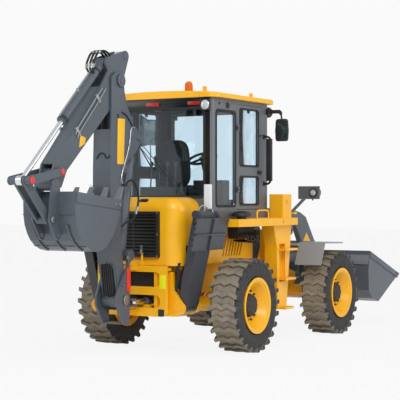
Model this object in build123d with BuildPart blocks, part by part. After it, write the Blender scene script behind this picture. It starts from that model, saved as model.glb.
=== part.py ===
from build123d import *
from math import atan2, cos, degrees, hypot, pi, radians, sin
import os

# Backhoe loader, articulated, in millimetres.
# +Y points to the loader bucket, +X to the machine's right, +Z up.
# The origin is on the ground under the middle of the machine.
# Stations along the machine are measured from the rear axle, heights from the ground.

# ---- driving dimensions -------------------------------------------------
rear_axle_y = -795.0          # rear axle's place along the machine
wheelbase = 2598.0
track = 1950.0
tyre_radius = 588.5           # over the lugs
tyre_width = 410.0
rim_radius = 304.8
lug_height = 30.0
lug_count = 24
pin_radius = 35.0
small_pin_radius = 25.0
pin_clearance = 0.06          # radial, pin in a boss that turns on it
seat_clearance = 0.2          # between faces that are bolted together
pane_gap = 0.3                # round glass and beside clamped parts
side_clearance = 8.0          # beside a piece that swings between two plates

# rear frame, hood and cab
rail_x = 320.0                # middle of each chassis rail
rail_thickness = 40.0
rail_top = 1110.0
frame_rear = -1100.0          # outer face of the rear plate
rear_plate_thickness = 40.0
rear_plate_half_width = 500.0
rear_plate_bottom = 500.0
rear_plate_top = 1115.0
hood_half_width = 630.0
hood_rear = -1035.0
hood_top = 1950.0
hood_wall = 25.0
hood_corner = 185.0
skirt_front = 880.0           # front end of the hood under the cab
cab_floor = 1600.0
cab_top = 3190.0
cab_rear = -510.0
cab_front = 1020.0
cab_half_width = 800.0
cab_wall = 45.0
roof_thickness = 95.0         # in the middle; the roof is crowned across
roof_edge = 58.0              # its thickness at both sides
roof_overhang = 70.0
door_rear = 130.0
door_front = 800.0
door_bottom = 1790.0
door_top = 3140.0
door_gap = 6.0
beacon_place = (150.0, 20.0)
glass_thickness = 8.0
platform_top = 1675.0
platform_thickness = 95.0
platform_outer = 1080.0
platform_rear = -330.0
platform_front = 1335.0
articulation_y = 1300.0
tower_outer = 990.0
tower_inner = 810.0

# swing and steering cylinders, bolted between the rear frame's rails
cylinder_level = 680.0
swing_x = 160.0
swing_seat = -400.0
swing_barrel_radius = 45.0
swing_rod_radius = 22.0
swing_stroke = 225.0          # each way
steer_cylinder_x = 220.0
steer_seat = 778.0
steer_eye_y = 1430.0
steer_barrel_radius = 35.0
steer_rod_radius = 20.0
steer_stroke = 126.0          # each way

# backhoe: pin places (station, height) with the boom folded for travel
king_y = -1300.0              # swing axis
king_low = 580.0              # top of the lower frame lug
king_high = 1060.0            # underside of the upper frame lug
king_lug_thickness = 62.0
king_lug_half_width = 74.0     # narrow, so that the post's plates pass beside it at full swing
boom_foot = (-1480.0, 720.0)
boom_base = (-1360.0, 1250.0)       # boom cylinder's base pin on the swing post
boom_eye = (-1130.0, 2670.0)        # boom cylinder's rod pin on the boom
boom_head = (-1530.0, 3337.0)       # boom to dipper
dipper_base = (-1450.0, 2300.0)     # dipper cylinder's base pin inside the boom
dipper_eye = (-1370.0, 3645.0)      # dipper cylinder's rod pin on the dipper
curl_base = (-1743.0, 3532.0)       # bucket cylinder's base pin on the dipper
curl_eye = (-3264.0, 2126.0)        # bucket cylinder's rod pin
dipper_tip = (-2800.0, 2092.0)      # dipper to bucket
guide_pivot = (-2712.0, 2230.0)     # guide links on the dipper
link_pin = (-2870.0, 1700.0)        # bucket link on the bucket
boom_half_width = 125.0
boom_plate = 20.0
dipper_half_width = 95.0
dipper_plate = 20.0
post_half_width = 165.0
post_plate = 30.0
hoe_bucket_half_width = 360.0
hoe_bucket_wall = 20.0

# stabilizers: pin places (side, height) seen from behind
leg_pivot = (600.0, 600.0)
leg_base = (470.0, 800.0)           # cylinder's base pin on the frame
leg_eye = (822.0, 1610.0)           # cylinder's rod pin near the leg's tip
leg_tip = (850.0, 1740.0)
leg_station = -780.0
leg_foot_half = 145.0
leg_head_half = 180.0
pad_station = -745.0
pad_length = 750.0
pad_foot = 745.0               # the pad's lower edge, up the leg
pad_height = 400.0
pad_gap = 20.0

# loader: pin places (station, height), bucket carried above the ground
arm_pivot = (1850.0, 1700.0)
arm_tube = (3150.0, 1200.0)         # cross tube, also the bell crank's pivot
arm_tip = (3570.0, 520.0)           # arm to bucket
lift_base = (1720.0, 600.0)
lift_eye = (2388.0, 1463.0)
crank_top = (3080.0, 1615.0)        # tilt cylinder's rod pin
crank_foot = (3012.0, 795.0)
bucket_link_pin = (3550.0, 820.0)
arm_x = 420.0
arm_thickness = 80.0
tilt_x = 225.0
loader_bucket_half_width = 1134.0
loader_bucket_wall = 25.0


# ---- planes and small shapes -------------------------------------------
def side(x):
    """Fore-and-aft plane at x; its axes are the station and the height."""
    return Plane((x, rear_axle_y, 0), x_dir=(0, 1, 0), z_dir=(1, 0, 0))


def level(z):
    """Horizontal plane at height z; its axes are x and the station."""
    return Plane((0, rear_axle_y, z), x_dir=(1, 0, 0), z_dir=(0, 0, 1))


def across(y):
    """Upright plane across the machine at station y, facing backwards; its axes are x and the height."""
    return Plane((0, rear_axle_y + y, 0), x_dir=(1, 0, 0), z_dir=(0, -1, 0))


def plate(plane, outline, thickness, holes=(), corner=0.0, mode=Mode.ADD):
    """Flat plate on a plane, from an outline of corners, with round holes (u, v, radius)."""
    with BuildSketch(plane) as face:
        with BuildLine():
            Polyline(*outline, close=True)
        make_face()
        if corner:
            fillet(face.vertices(), corner)
        for u, v, radius in holes:
            with Locations((u, v)):
                Circle(radius, mode=Mode.SUBTRACT)
    extrude(face.sketch, amount=thickness, mode=mode)


def box(x0, x1, y0, y1, z0, z1, corner=0.0, mode=Mode.ADD):
    """Block between two corners, with its upright edges rounded by corner."""
    with BuildSketch(level(z0)) as face:
        with Locations(((x0 + x1) / 2, (y0 + y1) / 2)):
            if corner:
                RectangleRounded(x1 - x0, y1 - y0, corner)
            else:
                Rectangle(x1 - x0, y1 - y0)
    extrude(face.sketch, amount=z1 - z0, mode=mode)


def disc(plane, centre, radius, length, bore=0.0, mode=Mode.ADD):
    """Round boss, pin or hole that stands on a plane."""
    with BuildSketch(plane) as face:
        with Locations(centre):
            Circle(radius)
            if bore:
                Circle(bore, mode=Mode.SUBTRACT)
    extrude(face.sketch, amount=length, mode=mode)


def round_bar(start, end, radius, bore=0.0, mode=Mode.ADD):
    """Straight bar or tube between two points of the part's frame."""
    run = Vector(*end) - Vector(*start)
    with BuildSketch(Plane(origin=start, z_dir=run.normalized())) as face:
        Circle(radius)
        if bore:
            Circle(bore, mode=Mode.SUBTRACT)
    extrude(face.sketch, amount=run.length, mode=mode)


def at(x, pin):
    """Point of the part's frame at side x and pin place (station, height)."""
    return (x, rear_axle_y + pin[0], pin[1])


def lengths(base, eye):
    """Distance between two pin places."""
    return hypot(eye[0] - base[0], eye[1] - base[1])


def lobes(pins, radii):
    """Outline of a plate that wraps round its pins: hull of circles at the pins."""
    with BuildSketch(Plane.XY) as face:
        for place, radius in zip(pins, radii):
            with Locations(place):
                Circle(radius)
        make_hull()
    return face.sketch


def link(x, thickness, pins, radii, bores=(), mode=Mode.ADD):
    """Link plate from x outwards that wraps round its pins, with a bore at each named pin."""
    body = side(x).from_local_coords(lobes(pins, radii))
    extrude(body, amount=thickness, mode=mode)
    for place, radius in bores:
        disc(side(x), place, radius, thickness, mode=Mode.SUBTRACT)


def write(part, name):
    """Label a finished piece and write it."""
    part.label = name
    export_step(part, f"parts/{name}.step")


os.makedirs("parts", exist_ok=True)


# ---- wheels --------------------------------------------------------------
tread_radius = tyre_radius - lug_height
bead_gap = 0.3
hub_face = 60.0               # outer face of the wheel disc, outboard of the tyre's middle
disc_thickness = 30.0
hub_cap_radius = 115.0
hub_cap_face = 115.0
flange_radius = 352.0
rim_half_width = 165.0

wheels = [  # name, side (+1 right), station
    ("rear_right", 1, 0.0),
    ("rear_left", -1, 0.0),
    ("front_right", 1, wheelbase),
    ("front_left", -1, wheelbase),
]
for name, sign, station in wheels:
    middle = Plane((sign * track / 2, rear_axle_y + station, tyre_radius), x_dir=(0, 1, 0), z_dir=(sign, 0, 0))
    turning = Plane(middle.origin, x_dir=(0, 0, 1), z_dir=(0, sign, 0))
    with BuildPart() as tyre:
        with BuildSketch(turning):
            with BuildLine():
                half = tyre_width / 2
                Polyline((rim_radius + bead_gap, -130), (rim_radius + bead_gap, 130), (rim_radius + 60, 178))
                ThreePointArc((rim_radius + 60, 178), (rim_radius + 150, 196), (tread_radius - 35, half - 15))
                Polyline((tread_radius - 35, half - 15), (tread_radius, half - 45), (tread_radius, 45 - half),
                         (tread_radius - 35, 15 - half))
                ThreePointArc((tread_radius - 35, 15 - half), (rim_radius + 150, -196), (rim_radius + 60, -178))
                Line((rim_radius + 60, -178), (rim_radius + bead_gap, -130))
            make_face()
        revolve(axis=Axis(middle.origin, middle.z_dir))
        for index in range(lug_count):
            turn = 360.0 / lug_count * index - 90.0
            outward = middle.x_dir * cos(radians(turn)) + middle.y_dir * sin(radians(turn))
            crown = Plane(middle.origin + outward * tyre_radius, x_dir=middle.z_dir, z_dir=-outward)
            bar = 50.0        # half the lug's length round the tyre
            wave = 40.0
            with BuildSketch(crown) as lug:
                with BuildLine():
                    Polyline((-half + 4, -bar + wave), (-70, -bar - 20), (0, -bar + 15), (70, -bar - 20),
                             (half - 4, -bar + wave), (half - 4, bar - 10), (70, bar - 62), (0, bar - 27),
                             (-70, bar - 62), (-half + 4, bar - 10), close=True)
                make_face()
            extrude(lug.sketch, amount=lug_height + 30.0)
    write(tyre.part, f"{name}_tyre")

    with BuildPart() as rim:
        with BuildSketch(turning):
            with BuildLine():
                inner = rim_radius - 14.0
                Polyline((0, hub_face - disc_thickness), (inner - 40, hub_face - disc_thickness), (inner, -40),
                         (inner, -rim_half_width - 12), (flange_radius, -rim_half_width - 34),
                         (flange_radius, -rim_half_width - 22), (rim_radius, -rim_half_width),
                         (rim_radius, rim_half_width), (flange_radius, rim_half_width + 22),
                         (flange_radius, rim_half_width + 34), (inner, rim_half_width + 12),
                         (inner - 70, hub_face), (hub_cap_radius, hub_face), (hub_cap_radius - 12, hub_cap_face),
                         (0, hub_cap_face), close=True)
            make_face()
        revolve(axis=Axis(middle.origin, middle.z_dir))
    write(rim.part, f"{name}_rim")

# ---- axles ---------------------------------------------------------------
hub_gap = 0.3
axle_tube_radius = 95.0
axle_seat = 720.0             # underside of the rails over the axles
trunnion_radius = 70.0
axle_end = track / 2 + hub_face - disc_thickness - hub_gap
hub_radius = 150.0


def axle(station):
    """Axle housing: gear bulge, tapered tubes and wheel hubs, turned about its own line."""
    with BuildSketch(across(station)) as half:
        with BuildLine():
            Polyline((0, tyre_radius), (0, tyre_radius + 190), (110, tyre_radius + 175), (200, tyre_radius + 110),
                     (280, tyre_radius + axle_tube_radius), (620, tyre_radius + axle_tube_radius),
                     (660, tyre_radius + hub_radius), (760, tyre_radius + hub_radius),
                     (800, tyre_radius + 120), (axle_end, tyre_radius + 120), (axle_end, tyre_radius), close=True)
        make_face()
    revolve(half.sketch, axis=Axis((0, rear_axle_y + station, tyre_radius), (1, 0, 0)))
    mirror(about=Plane.YZ)


with BuildPart() as rear_axle:
    axle(0.0)
    disc(across(250.0), (0, tyre_radius), trunnion_radius, 500.0)
write(rear_axle.part, "rear_axle")

with BuildPart() as front_axle:
    axle(wheelbase)
    for sign in (1, -1):
        box(sign * rail_x - 50, sign * rail_x + 50, wheelbase - 90, wheelbase + 90, tyre_radius, axle_seat)
write(front_axle.part, "front_axle")

# ---- rear frame ----------------------------------------------------------
rail_inner = rail_x - rail_thickness / 2
rail_outer = rail_x + rail_thickness / 2
opening_half_width = 410.0
openings = [  # bottom, top of each opening in the rear plate
    (605.0, 760.0),
    (860.0, 1040.0),
]
ear_inner = leg_station + leg_foot_half + 15.0
ear_thickness = 40.0
ear_rear = leg_station - leg_foot_half - 15.0
hanger_bottom = 480.0
joint_lug_radius = 110.0
joint_lugs = [  # underside, top of the rear frame's two hinge lugs
    (455.0, 500.0),
    (860.0, 905.0),
]
joint_pin_radius = 40.0
rail_end = 1130.0

with BuildPart() as rear_frame:
    rail = [(frame_rear + 20, 560), (frame_rear + 20, rail_top), (1040, rail_top), (rail_end, 960),
            (rail_end, 455), (960, 455), (430, axle_seat), (-430, axle_seat), (-640, 560)]
    plate(side(rail_inner), rail, rail_thickness)
    plate(side(-rail_outer), rail, rail_thickness)
    # rear plate with its two openings
    plate(across(frame_rear + rear_plate_thickness),
          [(-rear_plate_half_width, rear_plate_bottom + 40), (-rear_plate_half_width + 60, rear_plate_bottom),
           (rear_plate_half_width - 60, rear_plate_bottom), (rear_plate_half_width, rear_plate_bottom + 40),
           (rear_plate_half_width, rear_plate_top), (-rear_plate_half_width, rear_plate_top)], rear_plate_thickness)
    for bottom, top in openings:
        with BuildSketch(across(frame_rear + rear_plate_thickness + 1)) as hole:
            with Locations((0, (bottom + top) / 2)):
                RectangleRounded(2 * opening_half_width, top - bottom, 60)
        extrude(hole.sketch, amount=rear_plate_thickness + 2, mode=Mode.SUBTRACT)
    # top flange and floor of the rear box
    box(-rear_plate_half_width, rear_plate_half_width, frame_rear, frame_rear + 120, rear_plate_top - 60, rear_plate_top - 25)
    box(-rail_inner, rail_inner, frame_rear + 20, -640, 560, 590)
    # king-pin lugs
    for z in (king_low - king_lug_thickness, king_high):
        with BuildSketch(level(z)) as lug:
            with Locations((0, (king_y + frame_rear + 10) / 2)):
                Rectangle(2 * king_lug_half_width, frame_rear + 10 - king_y)
            with Locations((0, king_y)):
                Circle(king_lug_half_width)
                Circle(pin_radius + pin_clearance, mode=Mode.SUBTRACT)
        extrude(lug.sketch, amount=king_lug_thickness)
    # stabilizer ears on both sides, behind and in front of each leg
    for sign in (1, -1):
        for station in (ear_rear, ear_inner + ear_thickness):
            plate(across(station),
                  [(sign * rail_x, rear_plate_bottom), (sign * (leg_pivot[0] - 40), rear_plate_bottom),
                   (sign * (leg_pivot[0] + 70), leg_pivot[1] - 40), (sign * (leg_pivot[0] + 55), leg_pivot[1] + 55),
                   (sign * (leg_base[0] + 60), leg_base[1] + 20), (sign * 520, 1040), (sign * rail_x, 1040)],
                  ear_thickness)
            disc(across(station + 8), (sign * leg_pivot[0], leg_pivot[1]), 78, ear_thickness + 16)
        boss = (ear_inner - ear_rear) / 2 - 56
        disc(across(ear_inner + 1), (sign * leg_base[0], leg_base[1]), 55, boss + 1)
        disc(across(ear_rear + boss), (sign * leg_base[0], leg_base[1]), 55, boss + 1)
        disc(across(ear_inner + ear_thickness + 20), (sign * leg_pivot[0], leg_pivot[1]), pin_radius,
             ear_inner - ear_rear + 2 * ear_thickness + 40)
        disc(across(ear_inner + 5), (sign * leg_base[0], leg_base[1]), small_pin_radius, ear_inner - ear_rear + 10)
    # hangers that carry the rear axle's trunnions, and cross plates
    for station in (-200.0, 240.0):
        with BuildSketch(across(station)) as hanger:
            with BuildLine():
                Polyline((-rail_inner, axle_seat), (-130, hanger_bottom), (130, hanger_bottom), (rail_inner, axle_seat),
                         (rail_inner, 795), (-rail_inner, 795), close=True)
            make_face()
            with Locations((0, tyre_radius)):
                Circle(trunnion_radius + pin_clearance, mode=Mode.SUBTRACT)
        extrude(hanger.sketch, amount=40)
    box(-rail_inner, rail_inner, rail_end - 40, rail_end, 455, 905)
    for sign in (1, -1):
        disc(across(rail_end + 1), (sign * steer_cylinder_x, cylinder_level), 50, 42, mode=Mode.SUBTRACT)
    # cross plates that the swing and steering cylinders are bolted to, and saddles near the swing cylinders' ends
    box(-rail_inner, rail_inner, swing_seat, swing_seat + 40, 600, 790)
    box(-rail_inner, rail_inner, steer_seat - 40, steer_seat, 600, 790)
    for sign in (1, -1):
        box(sign * swing_x - 50, sign * swing_x + 50, -1020, -960, 580, cylinder_level - swing_barrel_radius - pane_gap)
    # articulation lugs
    for low, high in joint_lugs:
        with BuildSketch(level(low)) as lug:
            with BuildLine():
                Polyline((-rail_inner, rail_end - 10), (-joint_lug_radius, articulation_y),
                         (joint_lug_radius, articulation_y), (rail_inner, rail_end - 10), close=True)
            make_face()
            with Locations((0, articulation_y)):
                Circle(joint_lug_radius)
                Circle(joint_pin_radius + pin_clearance, mode=Mode.SUBTRACT)
        extrude(lug.sketch, amount=high - low)
    # outriggers that the step towers are bolted to
    for low, high in ((-tower_inner + seat_clearance, -rail_inner), (rail_inner, tower_inner - seat_clearance)):
        box(low, high, 930, 990, rail_top - 110, rail_top - 10)
write(rear_frame.part, "rear_frame")

with BuildPart() as engine_block:
    box(-260, 260, -930, -80, 800, 1400, corner=40)
    for sign in (1, -1):
        box(min(sign * 250, sign * rail_inner), max(sign * 250, sign * rail_inner), -760, -640, 820, 900)
        box(min(sign * 250, sign * rail_inner), max(sign * 250, sign * rail_inner), -380, -260, 820, 900)
write(engine_block.part, "engine_block")

# ---- hood and grille -----------------------------------------------------
hood_bottom = rear_plate_top + seat_clearance
grille_half_width = 370.0
grille_bottom = 1215.0
grille_top = 1775.0
grille_depth = 45.0
slat_count = 12

hood_brow = 140.0              # radius of the curve from the rear face to the top


def hood_form(inset, low, front):
    """Rounded form of the hood moved in by inset, from its lower edge up and with its skirt's front end."""
    reach = (hood_brow - inset) * sin(radians(45))
    gap = max(inset, seat_clearance)
    with BuildSketch(side(-hood_half_width + inset)) as form:
        with BuildLine():
            Polyline((hood_rear + inset, low), (hood_rear + inset, hood_top - hood_brow))
            ThreePointArc((hood_rear + inset, hood_top - hood_brow),
                          (hood_rear + hood_brow - reach, hood_top - hood_brow + reach),
                          (hood_rear + hood_brow, hood_top - inset))
            Polyline((hood_rear + hood_brow, hood_top - inset), (cab_rear - gap, hood_top - inset),
                     (cab_rear - gap, cab_floor - gap), (front, cab_floor - gap), (front, low), (hood_rear + inset, low))
        make_face()
    extrude(form.sketch, amount=2 * (hood_half_width - inset))


with BuildPart() as hood_space:
    hood_form(hood_wall, rail_top - 100, skirt_front + 50)
    fillet(hood_space.edges().filter_by(Axis.Z).group_by(Axis.Y)[0], hood_corner - hood_wall)

with BuildPart() as rear_hood:
    hood_form(0.0, hood_bottom, skirt_front)
    fillet(rear_hood.edges().filter_by(Axis.Z).group_by(Axis.Y)[0], hood_corner)
    add(hood_space.part, mode=Mode.SUBTRACT)
    # cut-outs beside the stabilizer cylinders
    for low, high in ((-hood_half_width - 1, -540), (540, hood_half_width + 1)):
        box(low, high, leg_station - 75, leg_station + 75, hood_bottom - 1, hood_bottom + 245, mode=Mode.SUBTRACT)
    box(-rail_outer - 8, rail_outer + 8, hood_rear - 10, skirt_front + 10, rail_top - 100, rail_top + 100,
        mode=Mode.SUBTRACT)
    with BuildSketch(across(hood_rear + hood_wall + 1)) as mouth:
        with Locations((0, (grille_bottom + grille_top) / 2)):
            Rectangle(2 * grille_half_width - 40, grille_top - grille_bottom - 40)
    extrude(mouth.sketch, amount=hood_wall + 2, mode=Mode.SUBTRACT)
    # slanted vents in the sides under the cab
    for sign in (1, -1):
        for step in range(7):
            foot = 40.0 + step * 75.0
            plate(side(sign * hood_half_width - hood_wall - 2),
                  [(foot, 1190), (foot + 36, 1190), (foot + 144, 1460), (foot + 108, 1460)], 2 * hood_wall + 4,
                  mode=Mode.SUBTRACT)
write(rear_hood.part, "rear_hood")

with BuildPart() as rear_grille:
    box(-grille_half_width, grille_half_width, hood_rear - grille_depth + seat_clearance, hood_rear - seat_clearance,
        grille_bottom, grille_top)
    box(-grille_half_width + 35, grille_half_width - 35, hood_rear - grille_depth - 1, hood_rear + 1,
        grille_bottom + 35, grille_top - 35, mode=Mode.SUBTRACT)
    pitch = (grille_top - grille_bottom - 70) / slat_count
    for step in range(slat_count):
        low = grille_bottom + 35 + (step + 0.2) * pitch
        plate(side(-grille_half_width + 20),
              [(hood_rear - 8, low + pitch * 0.7), (hood_rear - 20, low + pitch * 0.7),
               (hood_rear - 38, low), (hood_rear - 26, low)], 2 * grille_half_width - 40)
    box(-12, 12, hood_rear - 26, hood_rear - 8, grille_bottom + 20, grille_top - 20)
write(rear_grille.part, "rear_grille")

# ---- step towers, platforms and fittings on them ---------------------------
tower_bottom = 465.0
tower_rear = 880.0
steps = [  # height, front end of each step
    (tower_bottom, 1190.0),
    (850.0, 1250.0),
    (1240.0, 1300.0),
]
locker_height = 315.0

with BuildPart() as step_towers:
    box(cab_half_width + seat_clearance, platform_outer, platform_rear, platform_front,
        platform_top - platform_thickness, platform_top)
    # box behind the steps, narrower at its foot, with a recess between the steps
    tower = [(tower_rear - 90, platform_top - platform_thickness), (tower_rear, 1320), (tower_rear + 30, tower_bottom),
             (1170, tower_bottom), (1320, platform_top - platform_thickness)]
    plate(side(tower_inner), tower, tower_outer - tower_inner)
    box(tower_outer - 60, tower_outer + 1, tower_rear + 60, 1140, 830, 1330, corner=20, mode=Mode.SUBTRACT)
    for z, front in steps:
        box(tower_outer - 70, tower_outer + 105, tower_rear + 60, front, z, z + 30, corner=5)
    # locker in front of the door and fuel cap behind it
    box(tower_inner + 20, platform_outer - 20, 960, 1200, platform_top - 1, platform_top + locker_height, corner=30)
    disc(level(platform_top - 1), (tower_inner + 120, 10), 62, 36)
    disc(level(platform_top + 34), (tower_inner + 120, 10), 112, 34)
    mirror(about=Plane.YZ)
write(step_towers.part, "step_towers")

# ---- cab --------------------------------------------------------------------
window_half_width = 690.0
rear_window = (1950.0, 3060.0)
front_window = (1900.0, 3090.0)
side_window = (-410.0, 88.0, 1838.0, 3035.0)      # rear, front, bottom, top

with BuildPart() as cab_shell:
    box(-cab_half_width, cab_half_width, cab_rear, cab_front, cab_floor, cab_top, corner=60)
    box(-cab_half_width + cab_wall, cab_half_width - cab_wall, cab_rear + cab_wall, cab_front - cab_wall,
        cab_floor + 60, cab_top + 1, corner=20, mode=Mode.SUBTRACT)
    for bottom, top, station in ((*rear_window, cab_rear + cab_wall + 1), (*front_window, cab_front + 1)):
        with BuildSketch(across(station)) as pane:
            with Locations((0, (bottom + top) / 2)):
                RectangleRounded(2 * window_half_width, top - bottom, 60)
        extrude(pane.sketch, amount=cab_wall + 2, mode=Mode.SUBTRACT)
    rear, front, bottom, top = side_window
    plate(side(-cab_half_width - 1), [(rear, bottom), (front, bottom), (front, top), (rear, top)],
          2 * cab_half_width + 2, corner=40, mode=Mode.SUBTRACT)
    plate(side(-cab_half_width - 1), [(door_rear, door_bottom), (door_front, door_bottom), (door_front, door_top),
                                      (door_rear, door_top)], 2 * cab_half_width + 2, mode=Mode.SUBTRACT)
write(cab_shell.part, "cab_shell")

with BuildPart() as cab_glass:
    inset = cab_wall / 2 - glass_thickness / 2
    for bottom, top, station in ((*rear_window, cab_rear + inset + glass_thickness),
                                 (*front_window, cab_front - inset)):
        with BuildSketch(across(station)) as pane:
            with Locations((0, (bottom + top) / 2)):
                RectangleRounded(2 * (window_half_width - pane_gap), top - bottom - 2 * pane_gap, 60 - pane_gap)
        extrude(pane.sketch, amount=glass_thickness)
    rear, front, bottom, top = side_window
    for sign in (1, -1):
        plate(side(sign * (cab_half_width - cab_wall / 2) - glass_thickness / 2),
              [(rear + pane_gap, bottom + pane_gap), (front - pane_gap, bottom + pane_gap),
               (front - pane_gap, top - pane_gap), (rear + pane_gap, top - pane_gap)], glass_thickness,
              corner=40 - pane_gap)
write(cab_glass.part, "cab_glass")

with BuildPart() as cab_roof:
    roof_half = cab_half_width + roof_overhang
    with BuildSketch(across(cab_front + 90)) as crown:
        with BuildLine():
            Polyline((roof_half, cab_top + roof_edge), (roof_half, cab_top + seat_clearance),
                     (-roof_half, cab_top + seat_clearance), (-roof_half, cab_top + roof_edge))
            ThreePointArc((-roof_half, cab_top + roof_edge), (0, cab_top + roof_thickness),
                          (roof_half, cab_top + roof_edge))
        make_face()
    extrude(crown.sketch, amount=cab_front - cab_rear + 135)
    fillet(cab_roof.edges().filter_by(Axis.Z), 130)
    fillet(cab_roof.faces().sort_by(Axis.Z)[-1].edges(), 20)
    disc(level(cab_top + 60), beacon_place, 75, roof_thickness - 60)
    for x, station in ((-620, 850), (620, 850), (-620, -380), (620, -380)):
        box(x - 8, x + 8, station - 40, station + 40, cab_top + 60, cab_top + roof_thickness + 50)
        disc(side(x - 10), (station, cab_top + roof_thickness + 30), 14, 20, mode=Mode.SUBTRACT)
write(cab_roof.part, "cab_roof")

door_outline = [(door_rear + door_gap, door_bottom + door_gap), (door_front - door_gap, door_bottom + door_gap),
                (door_front - door_gap, door_top - door_gap), (door_rear + door_gap, door_top - door_gap)]
door_windows = [  # bottom, top of the two panes
    (1855.0, 2215.0),
    (2355.0, 3085.0),
]
door_frame = 75.0
door_hinge_x = cab_half_width + 12.0
door_hinge_y = door_rear - 8.0
hinge_levels = (2015.0, 2800.0)

doors = [("right_door", 1), ("left_door", -1)]
for name, sign in doors:
    inner_face = cab_half_width - cab_wall if sign > 0 else -cab_half_width
    with BuildPart() as door:
        plate(side(inner_face), door_outline, cab_wall)
        for low, high in door_windows:
            pane = [(door_rear + door_frame, low), (door_front - door_frame, low), (door_front - door_frame, high),
                    (door_rear + door_frame, high)]
            plate(side(inner_face - 1), pane, cab_wall + 2, corner=30, mode=Mode.SUBTRACT)
            plate(side(inner_face + cab_wall / 2 - glass_thickness / 2), pane, glass_thickness, corner=30)
        for z in hinge_levels:
            disc(level(z), (sign * door_hinge_x, door_hinge_y), 11, 70)
            leaf = sorted((sign * (cab_half_width + pane_gap), sign * (cab_half_width + 13)))
            box(*leaf, door_hinge_y, door_rear + 60, z, z + 70)
            root = sorted((sign * (cab_half_width - 1), sign * (cab_half_width + 1)))
            box(*root, door_rear + door_gap + 1, door_rear + 60, z, z + 70)
        # grab handle
        handle = sorted((sign * (cab_half_width - 1), sign * (cab_half_width + 35)))
        box(*handle, door_front - 60, door_front - 35, 2240, 2310)
    write(door.part, name)

# ---- inside the cab -----------------------------------------------------------
inner_floor = cab_floor + 60.0
seat_station = 150.0
with BuildPart() as operator_seat:
    box(-200, 200, seat_station - 180, seat_station + 180, inner_floor + seat_clearance, inner_floor + 300, corner=30)
    box(-250, 250, seat_station - 260, seat_station + 260, inner_floor + 300, inner_floor + 430, corner=60)
    plate(side(-240), [(seat_station - 260, inner_floor + 430), (seat_station - 130, inner_floor + 430),
                       (seat_station - 210, inner_floor + 1020), (seat_station - 330, inner_floor + 1020)], 480,
          corner=30)
write(operator_seat.part, "operator_seat")

with BuildPart() as operator_console:
    # front console with the steering column, rear console with the backhoe levers
    box(-230, 230, 760, cab_front - cab_wall - seat_clearance, inner_floor + seat_clearance, inner_floor + 520, corner=30)
    column_foot = Vector(0, rear_axle_y + 790, inner_floor + 480)
    column_top = Vector(0, rear_axle_y + 640, inner_floor + 800)
    round_bar(column_foot, column_top, 35)
    column = Plane(origin=column_top, z_dir=(column_top - column_foot).normalized())
    with BuildSketch(Plane(origin=column_top, x_dir=(1, 0, 0), z_dir=column.z_dir)) as wheel:
        Circle(200)
        Circle(172, mode=Mode.SUBTRACT)
        with PolarLocations(100, 3):
            Rectangle(200, 24)
        Circle(45)
    extrude(wheel.sketch, amount=26)
    box(-300, 300, cab_rear + cab_wall + seat_clearance, cab_rear + cab_wall + 190, inner_floor + seat_clearance,
        inner_floor + 420, corner=30)
    for x in (-180, -60, 60, 180):
        round_bar((x, rear_axle_y + cab_rear + 130, inner_floor + 400),
                  (x, rear_axle_y + cab_rear + 160, inner_floor + 700), 9)
        disc(level(inner_floor + 690), (x, cab_rear + 160), 22, 50)
write(operator_console.part, "operator_console")

roof_top = cab_top + roof_thickness
with BuildPart() as cab_lamps:
    # work lamps under the roof's edge, front and rear, and the beacon on the roof
    for x in (-725, 725):
        for station, width in ((cab_rear - 80, 79.7), (cab_front + 0.3, 80)):
            box(x - 60, x + 60, station, station + width, cab_top - 165, cab_top - 35, corner=15)
    disc(level(roof_top + 0.2), beacon_place, 55, 25)
    disc(level(roof_top + 25), beacon_place, 48, 100)
    disc(level(roof_top + 125), beacon_place, 32, 18)
write(cab_lamps.part, "cab_lamps")

with BuildPart() as cab_rails:
    # grab rails beside the doors and the mirrors on their arms
    for sign in (1, -1):
        with BuildPart(mode=Mode.PRIVATE) as rail:
            x = sign * (cab_half_width + 95)
            foot = sign * (cab_half_width + 0.3)
            with BuildLine() as run:
                FilletPolyline((foot, rear_axle_y + 880, 2130), (x, rear_axle_y + 880, 2130),
                               (x, rear_axle_y + 880, 2750), (foot, rear_axle_y + 880, 2750), radius=60)
            with BuildSketch(Plane(origin=run.line @ 0, z_dir=run.line % 0)):
                Circle(15)
            sweep(path=run.line)
            with BuildLine() as arm:
                mirror_x = sign * (cab_half_width + 220)
                FilletPolyline((sign * (cab_half_width + 1.8), rear_axle_y + 970, 3085),
                               (mirror_x, rear_axle_y + 970, 3095), (mirror_x, rear_axle_y + 970, 2985), radius=30)
            with BuildSketch(Plane(origin=arm.line @ 0, z_dir=arm.line % 0)):
                Circle(12)
            sweep(path=arm.line)
        add(rail.part)
        box(mirror_x - 95, mirror_x + 95, 945, 995, 2690, 2990, corner=20)
write(cab_rails.part, "cab_rails")

# ---- hydraulic cylinders ------------------------------------------------------
eye_clearance = 1.0           # radial, holes of rod eyes
inner_end = 100.0             # length of rod left inside at full stroke
rod_play = 0.3                # radial, rod in its gland


def barrel(base, eye, cross, length, radius, rod_radius, boss_radius, boss_half, bore):
    """Cylinder barrel from its base pin towards the eye, open at the rod's end."""
    start = Vector(*base)
    along = (Vector(*eye) - start).normalized()
    pin_line = Vector(*cross)
    round_bar(start + along * (boss_radius * 0.6), start + along * (length - 40), radius)
    round_bar(start + along * (length - 60), start + along * length, radius + 8)
    round_bar(start - pin_line * boss_half, start + pin_line * boss_half, boss_radius)
    round_bar(start + along * (bore + 25), start + along * (length + 1), rod_radius + rod_play, mode=Mode.SUBTRACT)
    reach = max(boss_half, radius) + 1
    round_bar(start - pin_line * reach, start + pin_line * reach, bore, mode=Mode.SUBTRACT)


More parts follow.
